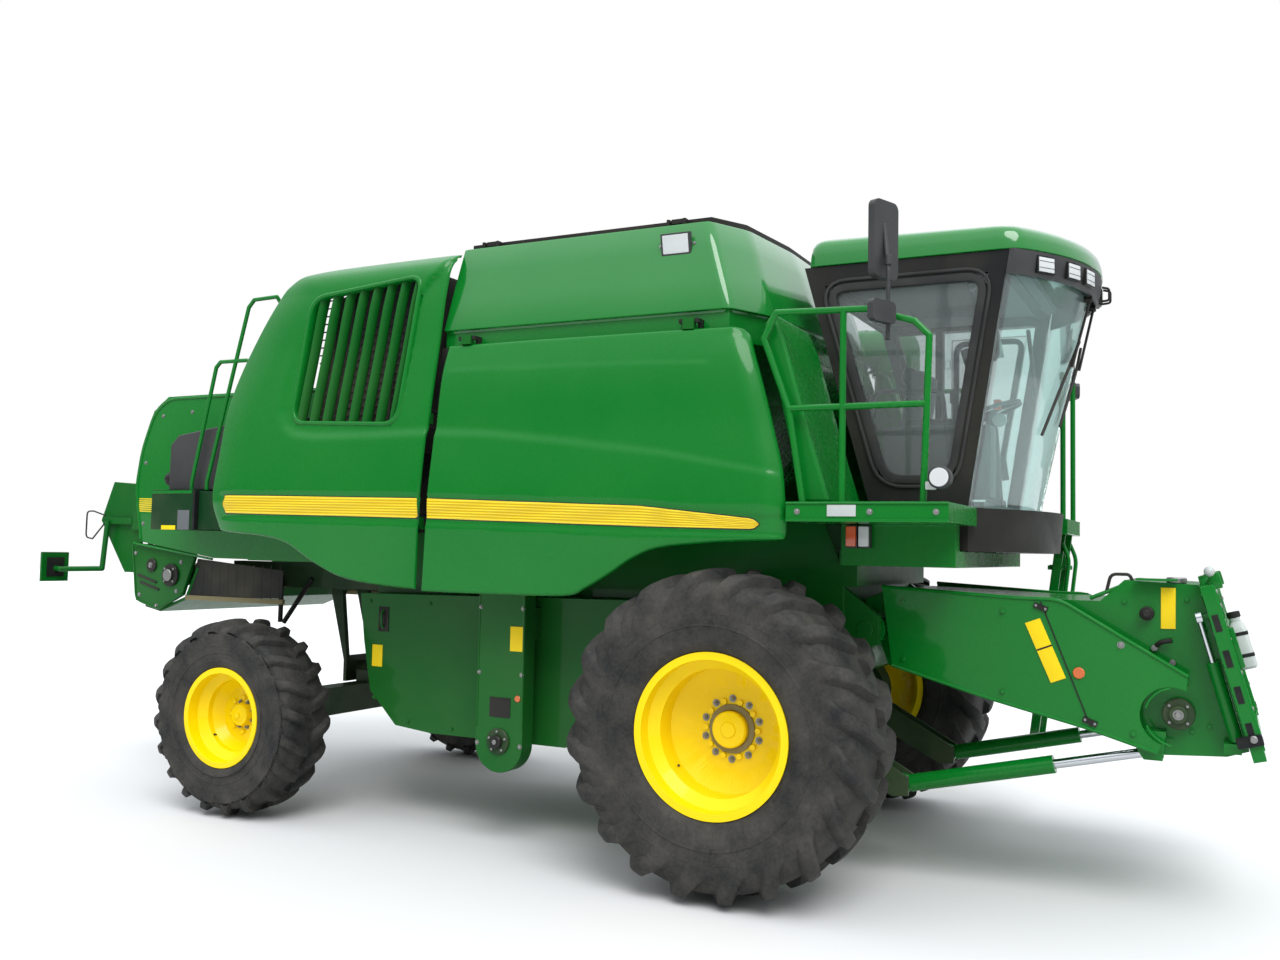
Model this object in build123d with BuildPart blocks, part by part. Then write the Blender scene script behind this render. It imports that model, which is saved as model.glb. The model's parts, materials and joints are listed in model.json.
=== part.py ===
"""Combine harvester without its header, in millimetres.

Frame: +X is the way the machine drives, +Y is its left side, +Z is up.
The origin is on the ground under the middle of the machine's length and width.
A station is measured forward from the front axle, and st() turns it into X.
"""

import math
import os

from build123d import *

os.makedirs("parts", exist_ok=True)

# Overall layout
front_reach = 2560.0
rear_reach = 5790.0
front_axle_x = (rear_reach - front_reach) / 2
wheelbase = 3580.0
body_rear = -wheelbase + 680.0
pin_gap = 0.3
eye_gap = 0.8
moving_gap = 8.0

# Front wheels, 650/75 R32 class
front_tyre_r = 870.0
front_tyre_width = 650.0
front_seat_r = 406.0
front_flange_r = 432.0
front_rim_width = 508.0
front_wheel_y = 1420.0
front_dish = 70.0
front_hub_r = 150.0
front_boss = 100.0
front_stub_r = 50.0

# Rear wheels, 16.9 R24 class
rear_tyre_r = 655.0
rear_tyre_width = 430.0
rear_seat_r = 305.0
rear_flange_r = 330.0
rear_rim_width = 381.0
rear_wheel_y = 1360.0
rear_dish = 30.0
rear_hub_r = 115.0
rear_boss = 80.0
rear_stub_r = 40.0
kingpin_y = 1010.0
kingpin_r = 38.0
knuckle_height = 230.0
yoke_plate = 40.0
hitch_low_z = 600.0
hitch_high_z = 720.0
hitch_r = 16.5

# Threshing body and its side walls
body_half_width = 800.0
side_wall_y = 1000.0
body_top_z = 2120.0
body_low_z = 1050.0
wall = 20.0

# Grain tank
tank_floor_z = 2230.0
tank_waist_z = 2980.0
tank_shoulder_z = 3150.0
tank_top_z = 3690.0
tank_rear = -1925.0
tank_half_width = 1415.0
tank_top_right = 1300.0
tank_shoulder_left = 1115.0
tank_top_left = 1085.0
lid_thickness = 32.0

# Side panels
panel_y = 1565.0
panel_thickness = 36.0
panel_joint = -1945.0
panel_gap = 60.0
louvre_count = 8
slat_thickness = 14.0

# Cab
cab_half_width = 850.0
cab_wall = 60.0
cab_floor_z = 2085.0
platform_z = 2085.0
cab_top_z = 3480.0
door_thickness = 40.0
door_rear = 640.0
glass_thickness = 8.0

# Feeder house, its lift and its header frame
feeder_pivot = (560.0, 1400.0)
feeder_pin_r = 45.0
feeder_boss_r = 95.0
feeder_half_width = 700.0
lift_y = 600.0
lift_foot = (735.0, 530.0)
lift_eye = (2040.0, 838.0)
lift_barrel_r = 48.0
lift_rod_r = 25.0
lift_pin_r = 22.0
lift_cheek_y = 47.0
lift_barrel_length = 840.0
header_frame_half_width = 760.0
header_frame_depth = 60.0
header_pin_r = 45.0

# Straw hood and chopper
hood_half_width = 950.0
hood_wall = 25.0
hood_top_z = 2930.0
chopper_x = -4800.0
chopper_z = 1560.0
chopper_r = 210.0

# Unloading auger
auger_x = 200.0
auger_y = 1288.0
auger_z = 3345.0
auger_r = 165.0
auger_wall = 8.0
auger_length = 4600.0
auger_joint_z = 3135.0


def st(x):
    """World X of a station measured forward from the front axle."""
    return front_axle_x + x


def side_plane(y=0.0):
    """Upright plane at world y: local x is the station, local y the height, its normal points right."""
    return Plane(origin=(front_axle_x, y, 0), x_dir=(1, 0, 0), z_dir=(0, -1, 0))


def hub_plane(x, y, z, side):
    """Upright plane through a wheel's axis: local x points outboard, local y up."""
    return Plane(origin=(x, y, z), x_dir=(0, side, 0), z_dir=(side, 0, 0))


def side_name(side):
    return "right" if side < 0 else "left"


def finish(builder, name):
    """Label a finished piece and write it out."""
    builder.part.label = name
    export_step(builder.part, "parts/" + name + ".step")


def slab(points, y_mid, thickness, mode=Mode.ADD):
    """Plate with a side-view outline of (station, height) points, centred on y_mid."""
    with BuildSketch(side_plane(y_mid + thickness / 2)) as face:
        Polygon(*points, align=None)
    extrude(face.sketch, amount=thickness, mode=mode)


def bar(start, end, radius, mode=Mode.ADD):
    """Round bar between two points given as (station, y, z)."""
    first = Vector(st(start[0]), start[1], start[2])
    last = Vector(st(end[0]), end[1], end[2])
    with BuildSketch(Plane(origin=first, z_dir=last - first)) as face:
        Circle(radius)
    extrude(face.sketch, amount=(last - first).length, mode=mode)


def block(x0, x1, y0, y1, z0, z1, mode=Mode.ADD):
    """Box between two stations, two widths and two heights."""
    with Locations((st((x0 + x1) / 2), (y0 + y1) / 2, (z0 + z1) / 2)):
        Box(abs(x1 - x0), abs(y1 - y0), abs(z1 - z0), mode=mode)


def tube_path(points, radius):
    """Bent round tube through (station, y, z) points, mitred at its bends."""
    for start, end in zip(points, points[1:]):
        bar(start, end, radius)
    for point in points[1:-1]:
        with Locations((st(point[0]), point[1], point[2])):
            Sphere(radius)


# Wheels

def make_tyre(name, x, y, side, tyre_r, width, seat_r, flange_r, rim_width):
    """Tyre as one ring seated on the rim."""
    bead = rim_width / 2 - 24
    shoulder = width / 2 - 40
    mid_r = (seat_r + tyre_r) / 2
    foot = (bead, seat_r + pin_gap)
    heel = (bead, flange_r + 8)
    with BuildPart() as tyre:
        with BuildSketch(hub_plane(x, y, tyre_r, side)):
            with BuildLine():
                Line((-foot[0], foot[1]), foot)
                Line(foot, heel)
                ThreePointArc(heel, (width / 2, mid_r), (shoulder, tyre_r - 45))
                ThreePointArc((shoulder, tyre_r - 45), (0, tyre_r), (-shoulder, tyre_r - 45))
                ThreePointArc((-shoulder, tyre_r - 45), (-width / 2, mid_r), (-heel[0], heel[1]))
                Line((-heel[0], heel[1]), (-foot[0], foot[1]))
            make_face()
        revolve(axis=Axis((x, y, tyre_r), (0, 1, 0)))
    finish(tyre, name)


def make_rim(name, x, y, z, side, seat_r, flange_r, rim_width, dish, hub_r, boss, stub_r, bolts):
    """Rolled rim, dished disc and bored hub; dish is how far the disc lies inboard of the middle."""
    half = rim_width / 2
    spin = Axis((x, y, z), (0, 1, 0))
    with BuildPart() as rim:
        with BuildSketch(hub_plane(x, y, z, side)):
            Polygon(
                (-half, flange_r), (-half + 12, flange_r), (-half + 20, seat_r), (-half + 90, seat_r),
                (-half + 130, seat_r - 55), (half - 130, seat_r - 55), (half - 90, seat_r),
                (half - 20, seat_r), (half - 12, flange_r), (half, flange_r), (half, seat_r - 14),
                (half - 84, seat_r - 14), (half - 124, seat_r - 69), (124 - half, seat_r - 69),
                (84 - half, seat_r - 14), (-half, seat_r - 14),
                align=None,
            )
            Polygon(
                (-dish - 14, 0), (-dish, 0), (-dish, hub_r + 70), (-dish + 70, seat_r - 60),
                (-dish + 52, seat_r - 60), (-dish - 14, hub_r + 76),
                align=None,
            )
            Polygon((-dish - boss, 0), (-dish, 0), (-dish, hub_r - 30), (-dish - boss, hub_r - 30), align=None)
            Polygon((-dish, 0), (-dish + 62, 0), (-dish + 50, 70), (-dish, 85), align=None)
        revolve(axis=spin)
        with BuildSketch(hub_plane(x, y, z, side)):
            Polygon(
                (-dish - boss - 1, 0), (-dish + 30, 0), (-dish + 30, stub_r + pin_gap),
                (-dish - boss - 1, stub_r + pin_gap),
                align=None,
            )
        revolve(axis=spin, mode=Mode.SUBTRACT)
        bolt_plane = Plane(origin=(x, y - side * dish, z), x_dir=(1, 0, 0), z_dir=(0, side, 0))
        with BuildSketch(bolt_plane):
            with PolarLocations(hub_r, bolts):
                RegularPolygon(radius=17, side_count=6)
        extrude(amount=18)
    finish(rim, name)


for side in (-1, 1):
    make_tyre(
        "front_tyre_" + side_name(side), st(0), side * front_wheel_y, side,
        front_tyre_r, front_tyre_width, front_seat_r, front_flange_r, front_rim_width,
    )
    make_rim(
        "front_rim_" + side_name(side), st(0), side * front_wheel_y, front_tyre_r, side,
        front_seat_r, front_flange_r, front_rim_width, front_dish, front_hub_r, front_boss,
        front_stub_r, 10,
    )
    make_tyre(
        "rear_tyre_" + side_name(side), st(-wheelbase), side * rear_wheel_y, side,
        rear_tyre_r, rear_tyre_width, rear_seat_r, rear_flange_r, rear_rim_width,
    )
    make_rim(
        "rear_rim_" + side_name(side), st(-wheelbase), side * rear_wheel_y, rear_tyre_r, side,
        rear_seat_r, rear_flange_r, rear_rim_width, rear_dish, rear_hub_r, rear_boss,
        rear_stub_r, 8,
    )

# Front axle: a cross beam with a final drive and a stub at each end
front_drive_face = front_wheel_y - front_dish - front_boss - moving_gap
front_stub_end = front_wheel_y - front_dish + 20
beam_half = 115.0
cheek_gap = 54.0
cheek = 22.0
with BuildPart() as front_axle:
    block(-beam_half, beam_half, -900, 900, front_tyre_r - beam_half, front_tyre_r + beam_half)
    for side in (-1, 1):
        block(
            -beam_half, beam_half, side * 560, side * 720, front_tyre_r + beam_half - 5, body_low_z - pin_gap,
        )
        bar((0, side * 860, front_tyre_r), (0, side * 1050, front_tyre_r), 235)
        bar((0, side * 1050, front_tyre_r), (0, side * front_drive_face, front_tyre_r), 175)
        bar((0, side * front_drive_face, front_tyre_r), (0, side * front_stub_end, front_tyre_r), front_stub_r)
        for cheek_side in (-1, 1):
            slab(
                [
                    (beam_half - 20, front_tyre_r - 90), (lift_foot[0] - 40, lift_foot[1] - 60),
                    (lift_foot[0] + 50, lift_foot[1] - 50), (lift_foot[0] + 50, lift_foot[1] + 50),
                    (beam_half - 20, front_tyre_r + 90),
                ],
                side * lift_y + cheek_side * (cheek_gap + cheek / 2), cheek,
            )
        bar(
            (lift_foot[0], side * lift_y - cheek_gap - cheek, lift_foot[1]),
            (lift_foot[0], side * lift_y + cheek_gap + cheek, lift_foot[1]), lift_pin_r,
        )
finish(front_axle, "front_axle")

# Rear axle: a cross beam on a centre pivot, with a yoke for each kingpin
rear_face = rear_wheel_y - rear_dish - rear_boss - moving_gap
yoke_z = knuckle_height / 2 + 4
with BuildPart() as rear_axle:
    block(-wheelbase - 80, -wheelbase + 80, -860, 860, rear_tyre_r - 90, rear_tyre_r + 110)
    for side in (-1, 1):
        block(
            -wheelbase - 75, -wheelbase + 75, side * 820, side * (kingpin_y - 78),
            rear_tyre_r - yoke_z - yoke_plate, rear_tyre_r + yoke_z + yoke_plate,
        )
        for up in (-1, 1):
            z_mid = rear_tyre_r + up * (yoke_z + yoke_plate / 2)
            block(
                -wheelbase - 75, -wheelbase + 75, side * 840, side * kingpin_y,
                z_mid - yoke_plate / 2, z_mid + yoke_plate / 2,
            )
            bar(
                (-wheelbase, side * kingpin_y, z_mid - yoke_plate / 2),
                (-wheelbase, side * kingpin_y, z_mid + yoke_plate / 2), 75,
            )
            bar(
                (-wheelbase, side * kingpin_y, z_mid - yoke_plate / 2 - 1),
                (-wheelbase, side * kingpin_y, z_mid + yoke_plate / 2 + 1),
                kingpin_r + pin_gap, Mode.SUBTRACT,
            )
    bar((-wheelbase - 130, 0, rear_tyre_r + 190), (-wheelbase + 130, 0, rear_tyre_r + 190), 70)
    block(-wheelbase - 80, -wheelbase + 80, -110, 110, rear_tyre_r + 60, rear_tyre_r + 200)
    for z in (hitch_low_z, hitch_high_z - 25):
        block(-wheelbase - 250, -wheelbase - 75, -60, 60, z, z + 25)
    bar((-wheelbase - 190, 0, hitch_low_z - 1), (-wheelbase - 190, 0, hitch_high_z + 1), hitch_r, Mode.SUBTRACT)
finish(rear_axle, "rear_axle")

for side in (-1, 1):
    with BuildPart() as knuckle:
        z_low = rear_tyre_r - knuckle_height / 2
        z_high = rear_tyre_r + knuckle_height / 2
        bar((-wheelbase, side * kingpin_y, z_low), (-wheelbase, side * kingpin_y, z_high), 62)
        bar(
            (-wheelbase, side * kingpin_y, rear_tyre_r - yoke_z - yoke_plate - 6),
            (-wheelbase, side * kingpin_y, rear_tyre_r + yoke_z + yoke_plate + 6), kingpin_r,
        )
        bar((-wheelbase, side * kingpin_y, rear_tyre_r), (-wheelbase, side * rear_face, rear_tyre_r), 70)
        bar(
            (-wheelbase, side * rear_face, rear_tyre_r),
            (-wheelbase, side * (rear_wheel_y - rear_dish + 20), rear_tyre_r), rear_stub_r,
        )
    finish(knuckle, "rear_knuckle_" + side_name(side))

# Chassis rails carry the rear axle's pivot and the straw hood
rail_y = 640.0
with BuildPart() as rear_frame:
    for side in (-1, 1):
        block(-4400, body_rear - pin_gap, side * (rail_y - 50), side * (rail_y + 50), 1500, 1680)
        for end in (-1, 1):
            slab(
                [
                    (-wheelbase + end * 320, 1500), (-wheelbase + end * 200, 1500),
                    (-wheelbase + end * (130 + pin_gap), 930), (-wheelbase + end * 160, 930),
                ],
                side * 150, 40,
            )
    block(-wheelbase - 340, -wheelbase - 180, -rail_y, rail_y, 1490, 1600)
    block(-wheelbase + 180, -wheelbase + 340, -rail_y, rail_y, 1490, 1600)
    for end in (-1, 1):
        block(
            -wheelbase + end * (130 + pin_gap), -wheelbase + end * 160, -170, 170,
            rear_tyre_r + 110, 960,
        )
finish(rear_frame, "rear_frame")

# Threshing body: drum housing in front, cleaning shoe behind it
with BuildPart() as threshing_body:
    slab(
        [
            (520, 1760), (520, 1640), (440, 1640), (440, 1130), (250, body_low_z), (-480, body_low_z), (-760, 640),
            (body_rear + 420, 600), (body_rear + 140, 820), (body_rear + 40, 1120), (body_rear, 1500),
            (body_rear, body_top_z), (330, body_top_z),
            (330, 1990), (425, 1760),
        ],
        0, 2 * body_half_width,
    )
    for side in (-1, 1):
        slab(
            [
                (-760, 1520), (-760, 760), (-1250, 600), (body_rear + 630, 600), (body_rear + 342, 628),
                (body_rear + 121, 843), (body_rear + 54, 1175), (body_rear + 14, 1491),
            ],
            side * (body_half_width + (side_wall_y - body_half_width) / 2), side_wall_y - body_half_width,
        )
        bar((feeder_pivot[0], side * 690, feeder_pivot[1]), (feeder_pivot[0], side * 790, feeder_pivot[1]), feeder_pin_r)
        slab(
            [(430, 1250), (640, 1320), (640, 1480), (430, 1640)],
            side * 760, 50,
        )
finish(threshing_body, "threshing_body")

# Grain tank: hopper below, upright waist, shoulders leaning in to the open top
tank_sections = (
    (tank_floor_z, -1600, -520, -500, -480, 700, 700),
    (tank_waist_z, tank_rear, -32, 86, 172, tank_half_width, tank_half_width),
    (tank_shoulder_z, tank_rear, -32, 86, 172, tank_half_width, tank_shoulder_left),
    (tank_top_z, tank_rear + 55, -216, -90, -28, tank_top_right, tank_top_left),
)


def tank_plan(section, inset, lift):
    """Plan outline of the tank at one height, shrunk by inset and raised by lift."""
    height, rear, corner, middle, nose, right, left = section
    with BuildSketch(Plane.XY.offset(height + lift)) as plan:
        Polygon(
            (st(rear) + inset, -right + inset), (st(corner) - inset, -right + inset),
            (st(middle) - inset, -right * 0.8), (st(nose) - inset, -right * 0.36),
            (st(nose) - inset, left * 0.36), (st(middle) - inset, left * 0.8),
            (st(corner) - inset, left - inset), (st(rear) + inset, left - inset),
            align=None,
        )
    return plan.sketch


with BuildPart() as grain_tank:
    loft([tank_plan(section, 0, 0) for section in tank_sections], ruled=True)
    inner = [tank_plan(section, wall, 0) for section in tank_sections[1:]]
    inner.insert(0, tank_plan(tank_sections[0], wall, wall))
    loft(inner, ruled=True, mode=Mode.SUBTRACT)
    block(-1500, -600, -600, 600, body_top_z, tank_floor_z + 5)
finish(grain_tank, "grain_tank")

# Tank lids hinged along the tank's upper side edges
lid_hinge_z = tank_top_z + 24
lid_hinge_inset = 30.0
lid_pin_r = 8.0
lid_hinge_x = (-1700, -420)
for side in (-1, 1):
    edge = (tank_top_right if side < 0 else tank_top_left) - lid_hinge_inset
    with BuildPart() as lid:
        with BuildSketch(Plane.XY.offset(tank_top_z + 6)):
            Polygon(
                (st(tank_rear + 62), side * 5), (st(-34), side * 5), (st(-34), side * edge * 0.36),
                (st(-96), side * edge * 0.8), (st(-220), side * (edge - 24)),
                (st(tank_rear + 62), side * (edge - 24)),
                align=None,
            )
        extrude(amount=lid_thickness)
        for x in lid_hinge_x:
            block(x - 35, x + 35, side * (edge - 30), side * (edge + 14), lid_hinge_z - 14, lid_hinge_z + 14)
            bar((x - 36, side * edge, lid_hinge_z), (x + 36, side * edge, lid_hinge_z), lid_pin_r + pin_gap, Mode.SUBTRACT)
    finish(lid, "tank_lid_" + side_name(side))

with BuildPart() as lid_hinges:
    for side in (-1, 1):
        edge = (tank_top_right if side < 0 else tank_top_left) - lid_hinge_inset
        for x in lid_hinge_x:
            bar((x - 60, side * edge, lid_hinge_z), (x + 60, side * edge, lid_hinge_z), lid_pin_r)
            for end in (-1, 1):
                block(
                    x + end * 42, x + end * 60, side * (edge - 12), side * (edge + lid_hinge_inset - 2),
                    tank_top_z, lid_hinge_z + 12,
                )
finish(lid_hinges, "lid_hinges")

# Side frame: groove posts, hinge bars and their brackets
groove_foot = (-1978.0, 1811.0)
groove_slope = 110.0 / 1493.0
flap_hinge_y = 1478.0
flap_hinge_z = 3085.0
flap_pin_r = 10.0
rear_hinge_y = 1500.0
rear_hinge_offset = 55.0
rear_pin_r = 12.0
rear_hinge_z = (1960, 2600)


def groove_x(z):
    """Station of the middle of the groove between the front and rear panels."""
    return groove_foot[0] + (z - groove_foot[1]) * groove_slope


with BuildPart() as side_frame:
    for side in (-1, 1):
        slab(
            [
                (groove_x(1620) - 40, 1620), (groove_x(1620) + 40, 1620),
                (groove_x(3040) + 40, 3040), (groove_x(3040) - 40, 3040),
            ],
            side * (tank_half_width + 20), 34,
        )
        for z in (1700, 2060):
            block(-1990, -1920, side * body_half_width, side * (tank_half_width + 4), z - 40, z + 40)
        for z in rear_hinge_z:
            hinge_x = groove_x(z) - rear_hinge_offset
            bar(
                (groove_x(z - 60) - rear_hinge_offset, side * rear_hinge_y, z - 60),
                (groove_x(z + 60) - rear_hinge_offset, side * rear_hinge_y, z + 60), rear_pin_r,
            )
            for up in (-1, 1):
                block(
                    hinge_x - 16, hinge_x + 40, side * (tank_half_width + 5), side * (rear_hinge_y - 40),
                    z + up * 42, z + up * 58,
                )
                block(
                    hinge_x - 16, hinge_x + 16, side * (rear_hinge_y - 50), side * (rear_hinge_y + 12),
                    z + up * 42, z + up * 58,
                )
        for x in (-1720, -240):
            bar((x - 60, side * flap_hinge_y, flap_hinge_z), (x + 60, side * flap_hinge_y, flap_hinge_z), flap_pin_r)
            for end in (-1, 1):
                block(
                    x + end * 40, x + end * 60, side * tank_half_width, side * (tank_half_width + 38),
                    2930, flap_hinge_z + 12,
                )
                block(
                    x + end * 40, x + end * 60, side * tank_half_width, side * (flap_hinge_y + 12),
                    flap_hinge_z - 12, flap_hinge_z + 12,
                )
    block(-1990, -1935, tank_half_width - 190, tank_half_width + 30, 2900, auger_z - auger_r + 60)
    bar((-2000, auger_y, auger_z), (-1900, auger_y, auger_z), auger_r + moving_gap, Mode.SUBTRACT)
finish(side_frame, "side_frame")

# Side panels
front_section = ((1500, 3046), (1545, 2870), (1560, 2480), (1575, 2090), (1568, 1990), (1545, 1540))
rear_section = (
    (1385, 3650), (1465, 3575), (1500, 3440), (1530, 3050), (1562, 2600), (1575, 2090), (1568, 1990), (1530, 1540),
)
front_outline = [
    (groove_x(3046) + panel_gap / 2, 3050), (66, 3035), (110, 3003), (183, 2749), (256, 2487), (327, 2230),
    (342, 1892), (13, 1870), (-347, 1838), (-519, 1779), (-670, 1686), (-824, 1602), (-962, 1553),
    (groove_x(1545) + panel_gap / 2, 1545),
]
rear_edge = [(-3698, 1892), (-3762, 2171), (-3724, 2392), (-3667, 2726)]
rear_bottom = [
    (groove_x(1555) - panel_gap / 2, 1555), (-2372, 1577), (-2635, 1620), (-2842, 1705), (-3056, 1819), (-3272, 1864),
]
rear_outline_right = rear_bottom + rear_edge + [
    (-3535, 3055), (-3290, 3459), (-3200, 3560), (-3060, 3620), (-2860, 3650), (groove_x(3650) - panel_gap / 2, 3650),
]
rear_outline_left = rear_bottom + rear_edge + [(-3590, 2960), (-3500, 3046), (groove_x(3046) - panel_gap / 2, 3046)]
louvre = [(-2941, 3428), (-2063, 3505), (-2190, 2569), (-3056, 2605)]


def panel_body(section, points, side):
    """Curved cross-section drawn out along the machine, trimmed to its side outline."""
    inner = [(y - panel_thickness, z) for y, z in reversed(section)]
    middle = (points[0][0] + min(point[0] for point in points)) / 2
    with BuildPart() as panel:
        with BuildSketch(hub_plane(st(-1700), 0, 0, side)):
            Polygon(*section, *inner, align=None)
        extrude(amount=2300, both=True)
        with BuildSketch(side_plane(side * 1480)):
            Polygon(*points, align=None)
        extrude(amount=300, both=True, mode=Mode.INTERSECT)
    return panel.part


for side in (-1, 1):
    with BuildPart() as front_panel:
        add(panel_body(front_section, front_outline, side))
        for x in (-1720, -240):
            block(x - 34, x + 34, side * (flap_hinge_y - 14), side * (flap_hinge_y + 22), 3030, flap_hinge_z + 14)
            bar(
                (x - 36, side * flap_hinge_y, flap_hinge_z), (x + 36, side * flap_hinge_y, flap_hinge_z),
                flap_pin_r + pin_gap, Mode.SUBTRACT,
            )
    finish(front_panel, "front_panel_" + side_name(side))

    with BuildPart() as rear_panel:
        add(panel_body(rear_section, rear_outline_right if side < 0 else rear_outline_left, side))
        if side < 0:
            with BuildSketch(side_plane(side * 1480)) as opening:
                Polygon(*louvre, align=None)
                fillet(opening.vertices(), 70)
            extrude(opening.sketch, amount=300, both=True, mode=Mode.SUBTRACT)
            top_rear, top_front, low_front, low_rear = louvre
            for i in range(louvre_count):
                share = (i + 0.5) / louvre_count
                x_top = top_rear[0] + share * (top_front[0] - top_rear[0])
                z_top = top_rear[1] + share * (top_front[1] - top_rear[1]) + 12
                x_low = low_rear[0] + share * (low_front[0] - low_rear[0])
                z_low = low_rear[1] + share * (low_front[1] - low_rear[1]) - 12
                slab([(x_low - 15, z_low), (x_low + 15, z_low), (x_top + 15, z_top), (x_top - 15, z_top)], side * 1490, 46)
        for z in rear_hinge_z:
            hinge_x = groove_x(z) - rear_hinge_offset
            block(hinge_x - 16, hinge_x + 20, side * (rear_hinge_y - 14), side * (rear_hinge_y + 40), z - 34, z + 34)
            bar(
                (groove_x(z - 60) - rear_hinge_offset, side * rear_hinge_y, z - 60),
                (groove_x(z + 60) - rear_hinge_offset, side * rear_hinge_y, z + 60),
                rear_pin_r + pin_gap, Mode.SUBTRACT,
            )
    finish(rear_panel, "rear_panel_" + side_name(side))

# Engine, radiator and the rear deck
with BuildPart() as engine:
    block(-2880, -2050, -700, 560, body_top_z + 60, 3150)
    for y in (-500, 360):
        block(-2840, -2140, y, y + 140, body_top_z, body_top_z + 60)
finish(engine, "engine")

with BuildPart() as radiator:
    block(-2780, -2030, -1330, -980, 2420, 3540)
    block(-2700, -2100, -1200, -980, body_top_z - 60, 2420)
    block(-2700, -2100, -1200, -body_half_width, body_top_z - 160, body_top_z - 40)
finish(radiator, "radiator")

# Straw hood: open below and at its rear, with the engine deck's floor on its front part
hood_front = body_rear - pin_gap
hood_profile = [
    (hood_front, 1690), (hood_front, 2900), (-3300, hood_top_z), (-4888, 2927), (-5039, 2821), (-5161, 2525), (-5212, 2226),
    (-5131, 1812), (-4341, 1699),
]
hood_inner = [
    (-2800, 1600), (-2800, 2110), (-2925, 2110), (-2925, 2875), (-3300, hood_top_z - 25), (-4870, 2902), (-5015, 2805), (-5135, 2515),
    (-5185, 2226), (-5185, 1500), (-4341, 1500),
]
with BuildPart() as straw_hood:
    slab(hood_profile, 0, 2 * hood_half_width)
    slab(hood_inner, 0, 2 * (hood_half_width - hood_wall), Mode.SUBTRACT)
    block(-5300, -5100, -hood_half_width + hood_wall, hood_half_width - hood_wall, 1700, 2260, Mode.SUBTRACT)
    for side in (-1, 1):
        block(-4000, -3000, side * (rail_y + 40), side * (hood_half_width - 5), 1690, 1720)
finish(straw_hood, "straw_hood")

with BuildPart() as straw_walkers:
    for i in range(6):
        y = -612 + i * 245
        slab(
            [(-2905, 1780), (-2905, 1980), (-3500, 2070), (-3500, 2180), (-4200, 2270), (-4200, 2360), (-4600, 2400), (-4600, 2200)],
            y, 225,
        )
    for x, z in ((-3100, 1900), (-4300, 2300)):
        bar((x, pin_gap + hood_wall - hood_half_width, z), (x, hood_half_width - hood_wall - pin_gap, z), 25)
finish(straw_walkers, "straw_walkers")

# Straw chopper under the hood's rear, with its turning knife rotor
chopper_half = 900.0
chopper_shaft_r = 35.0
with BuildPart() as chopper_housing:
    for side in (-1, 1):
        slab(
            [
                (-5241, 1800), (-5178, 1357), (-4931, 1290), (-4671, 1413), (-4560, 1700), (-4560, 1760),
            ],
            side * (chopper_half + 12.5), 25,
        )
    slab(
        [(-5100, 1310), (-4931, 1278), (-4650, 1380), (-4540, 1620), (-4565, 1630), (-4671, 1400), (-4931, 1303), (-5090, 1335)],
        0, 2 * chopper_half,
    )
    bar(
        (chopper_x, -chopper_half - 26, chopper_z), (chopper_x, chopper_half + 26, chopper_z),
        chopper_shaft_r + pin_gap, Mode.SUBTRACT,
    )
finish(chopper_housing, "chopper_housing")

with BuildPart() as chopper_rotor:
    bar((chopper_x, -chopper_half + 8, chopper_z), (chopper_x, chopper_half - 8, chopper_z), 80)
    bar((chopper_x, -chopper_half - 40, chopper_z), (chopper_x, chopper_half + 40, chopper_z), chopper_shaft_r)
finish(chopper_rotor, "chopper_rotor")

with BuildPart() as tailboard:
    for side in (-1, 1):
        slab([(-5216, 2249), (-5526, 2275), (-5656, 1973), (-5362, 1568), (-5180, 1568)], side * 880, 20)
        block(-5260, -5150, side * 885, side * (hood_half_width - hood_wall - pin_gap), 1900, 2200)
    slab([(-5200, 2255), (-5526, 2280), (-5656, 1975), (-5632, 1968), (-5510, 2255), (-5200, 2232)], 0, 2 * 889)
    for i in range(5):
        slab([(-5230, 2235), (-5500, 2258), (-5610, 2000), (-5420, 1750), (-5230, 2100)], -600 + 300 * i, 10)
finish(tailboard, "tailboard")

# Rear fittings: boxes beside the hood, the dark cover, handrails and lamp brackets
with BuildPart() as rear_boxes:
    for side in (-1, 1):
        block(-4550, -4130, side * (hood_half_width + 40), side * 1350, 1900, 2185)
        block(-4130, -3900, side * (hood_half_width + 40), side * 1320, 1905, 2175)
        block(-4500, -3950, side * (hood_half_width + pin_gap), side * (hood_half_width + 60), 1960, 2120)
finish(rear_boxes, "rear_boxes")

with BuildPart() as side_tanks:
    for side in (-1, 1):
        slab(
            [
                (-4500, 2185 + pin_gap), (-3300, 2185 + pin_gap), (-3300, 2700), (-3700, 2700), (-4040, 2640),
                (-4420, 2590), (-4500, 2520),
            ],
            side * (hood_half_width + pin_gap + 150), 300,
        )
finish(side_tanks, "side_tanks")

with BuildPart() as rear_handrails:
    tube_path(
        [
            (-3440, -1200, 2700 + pin_gap), (-3440, -1200, 3400), (-3480, -1285, 3525), (-3690, -1285, 3520),
            (-3740, -1285, 3470), (-4075, -1285, 2240), (-4075, -1285, 2185 + pin_gap),
        ],
        14,
    )
    tube_path(
        [
            (-3600, -1200, 2700 + pin_gap), (-3600, -1200, 3050), (-3741, -1285, 3095), (-3990, -1285, 3097),
            (-4031, -1285, 3060), (-4225, -1285, 2240), (-4225, -1285, 2185 + pin_gap),
        ],
        14,
    )
finish(rear_handrails, "rear_handrails")

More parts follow.
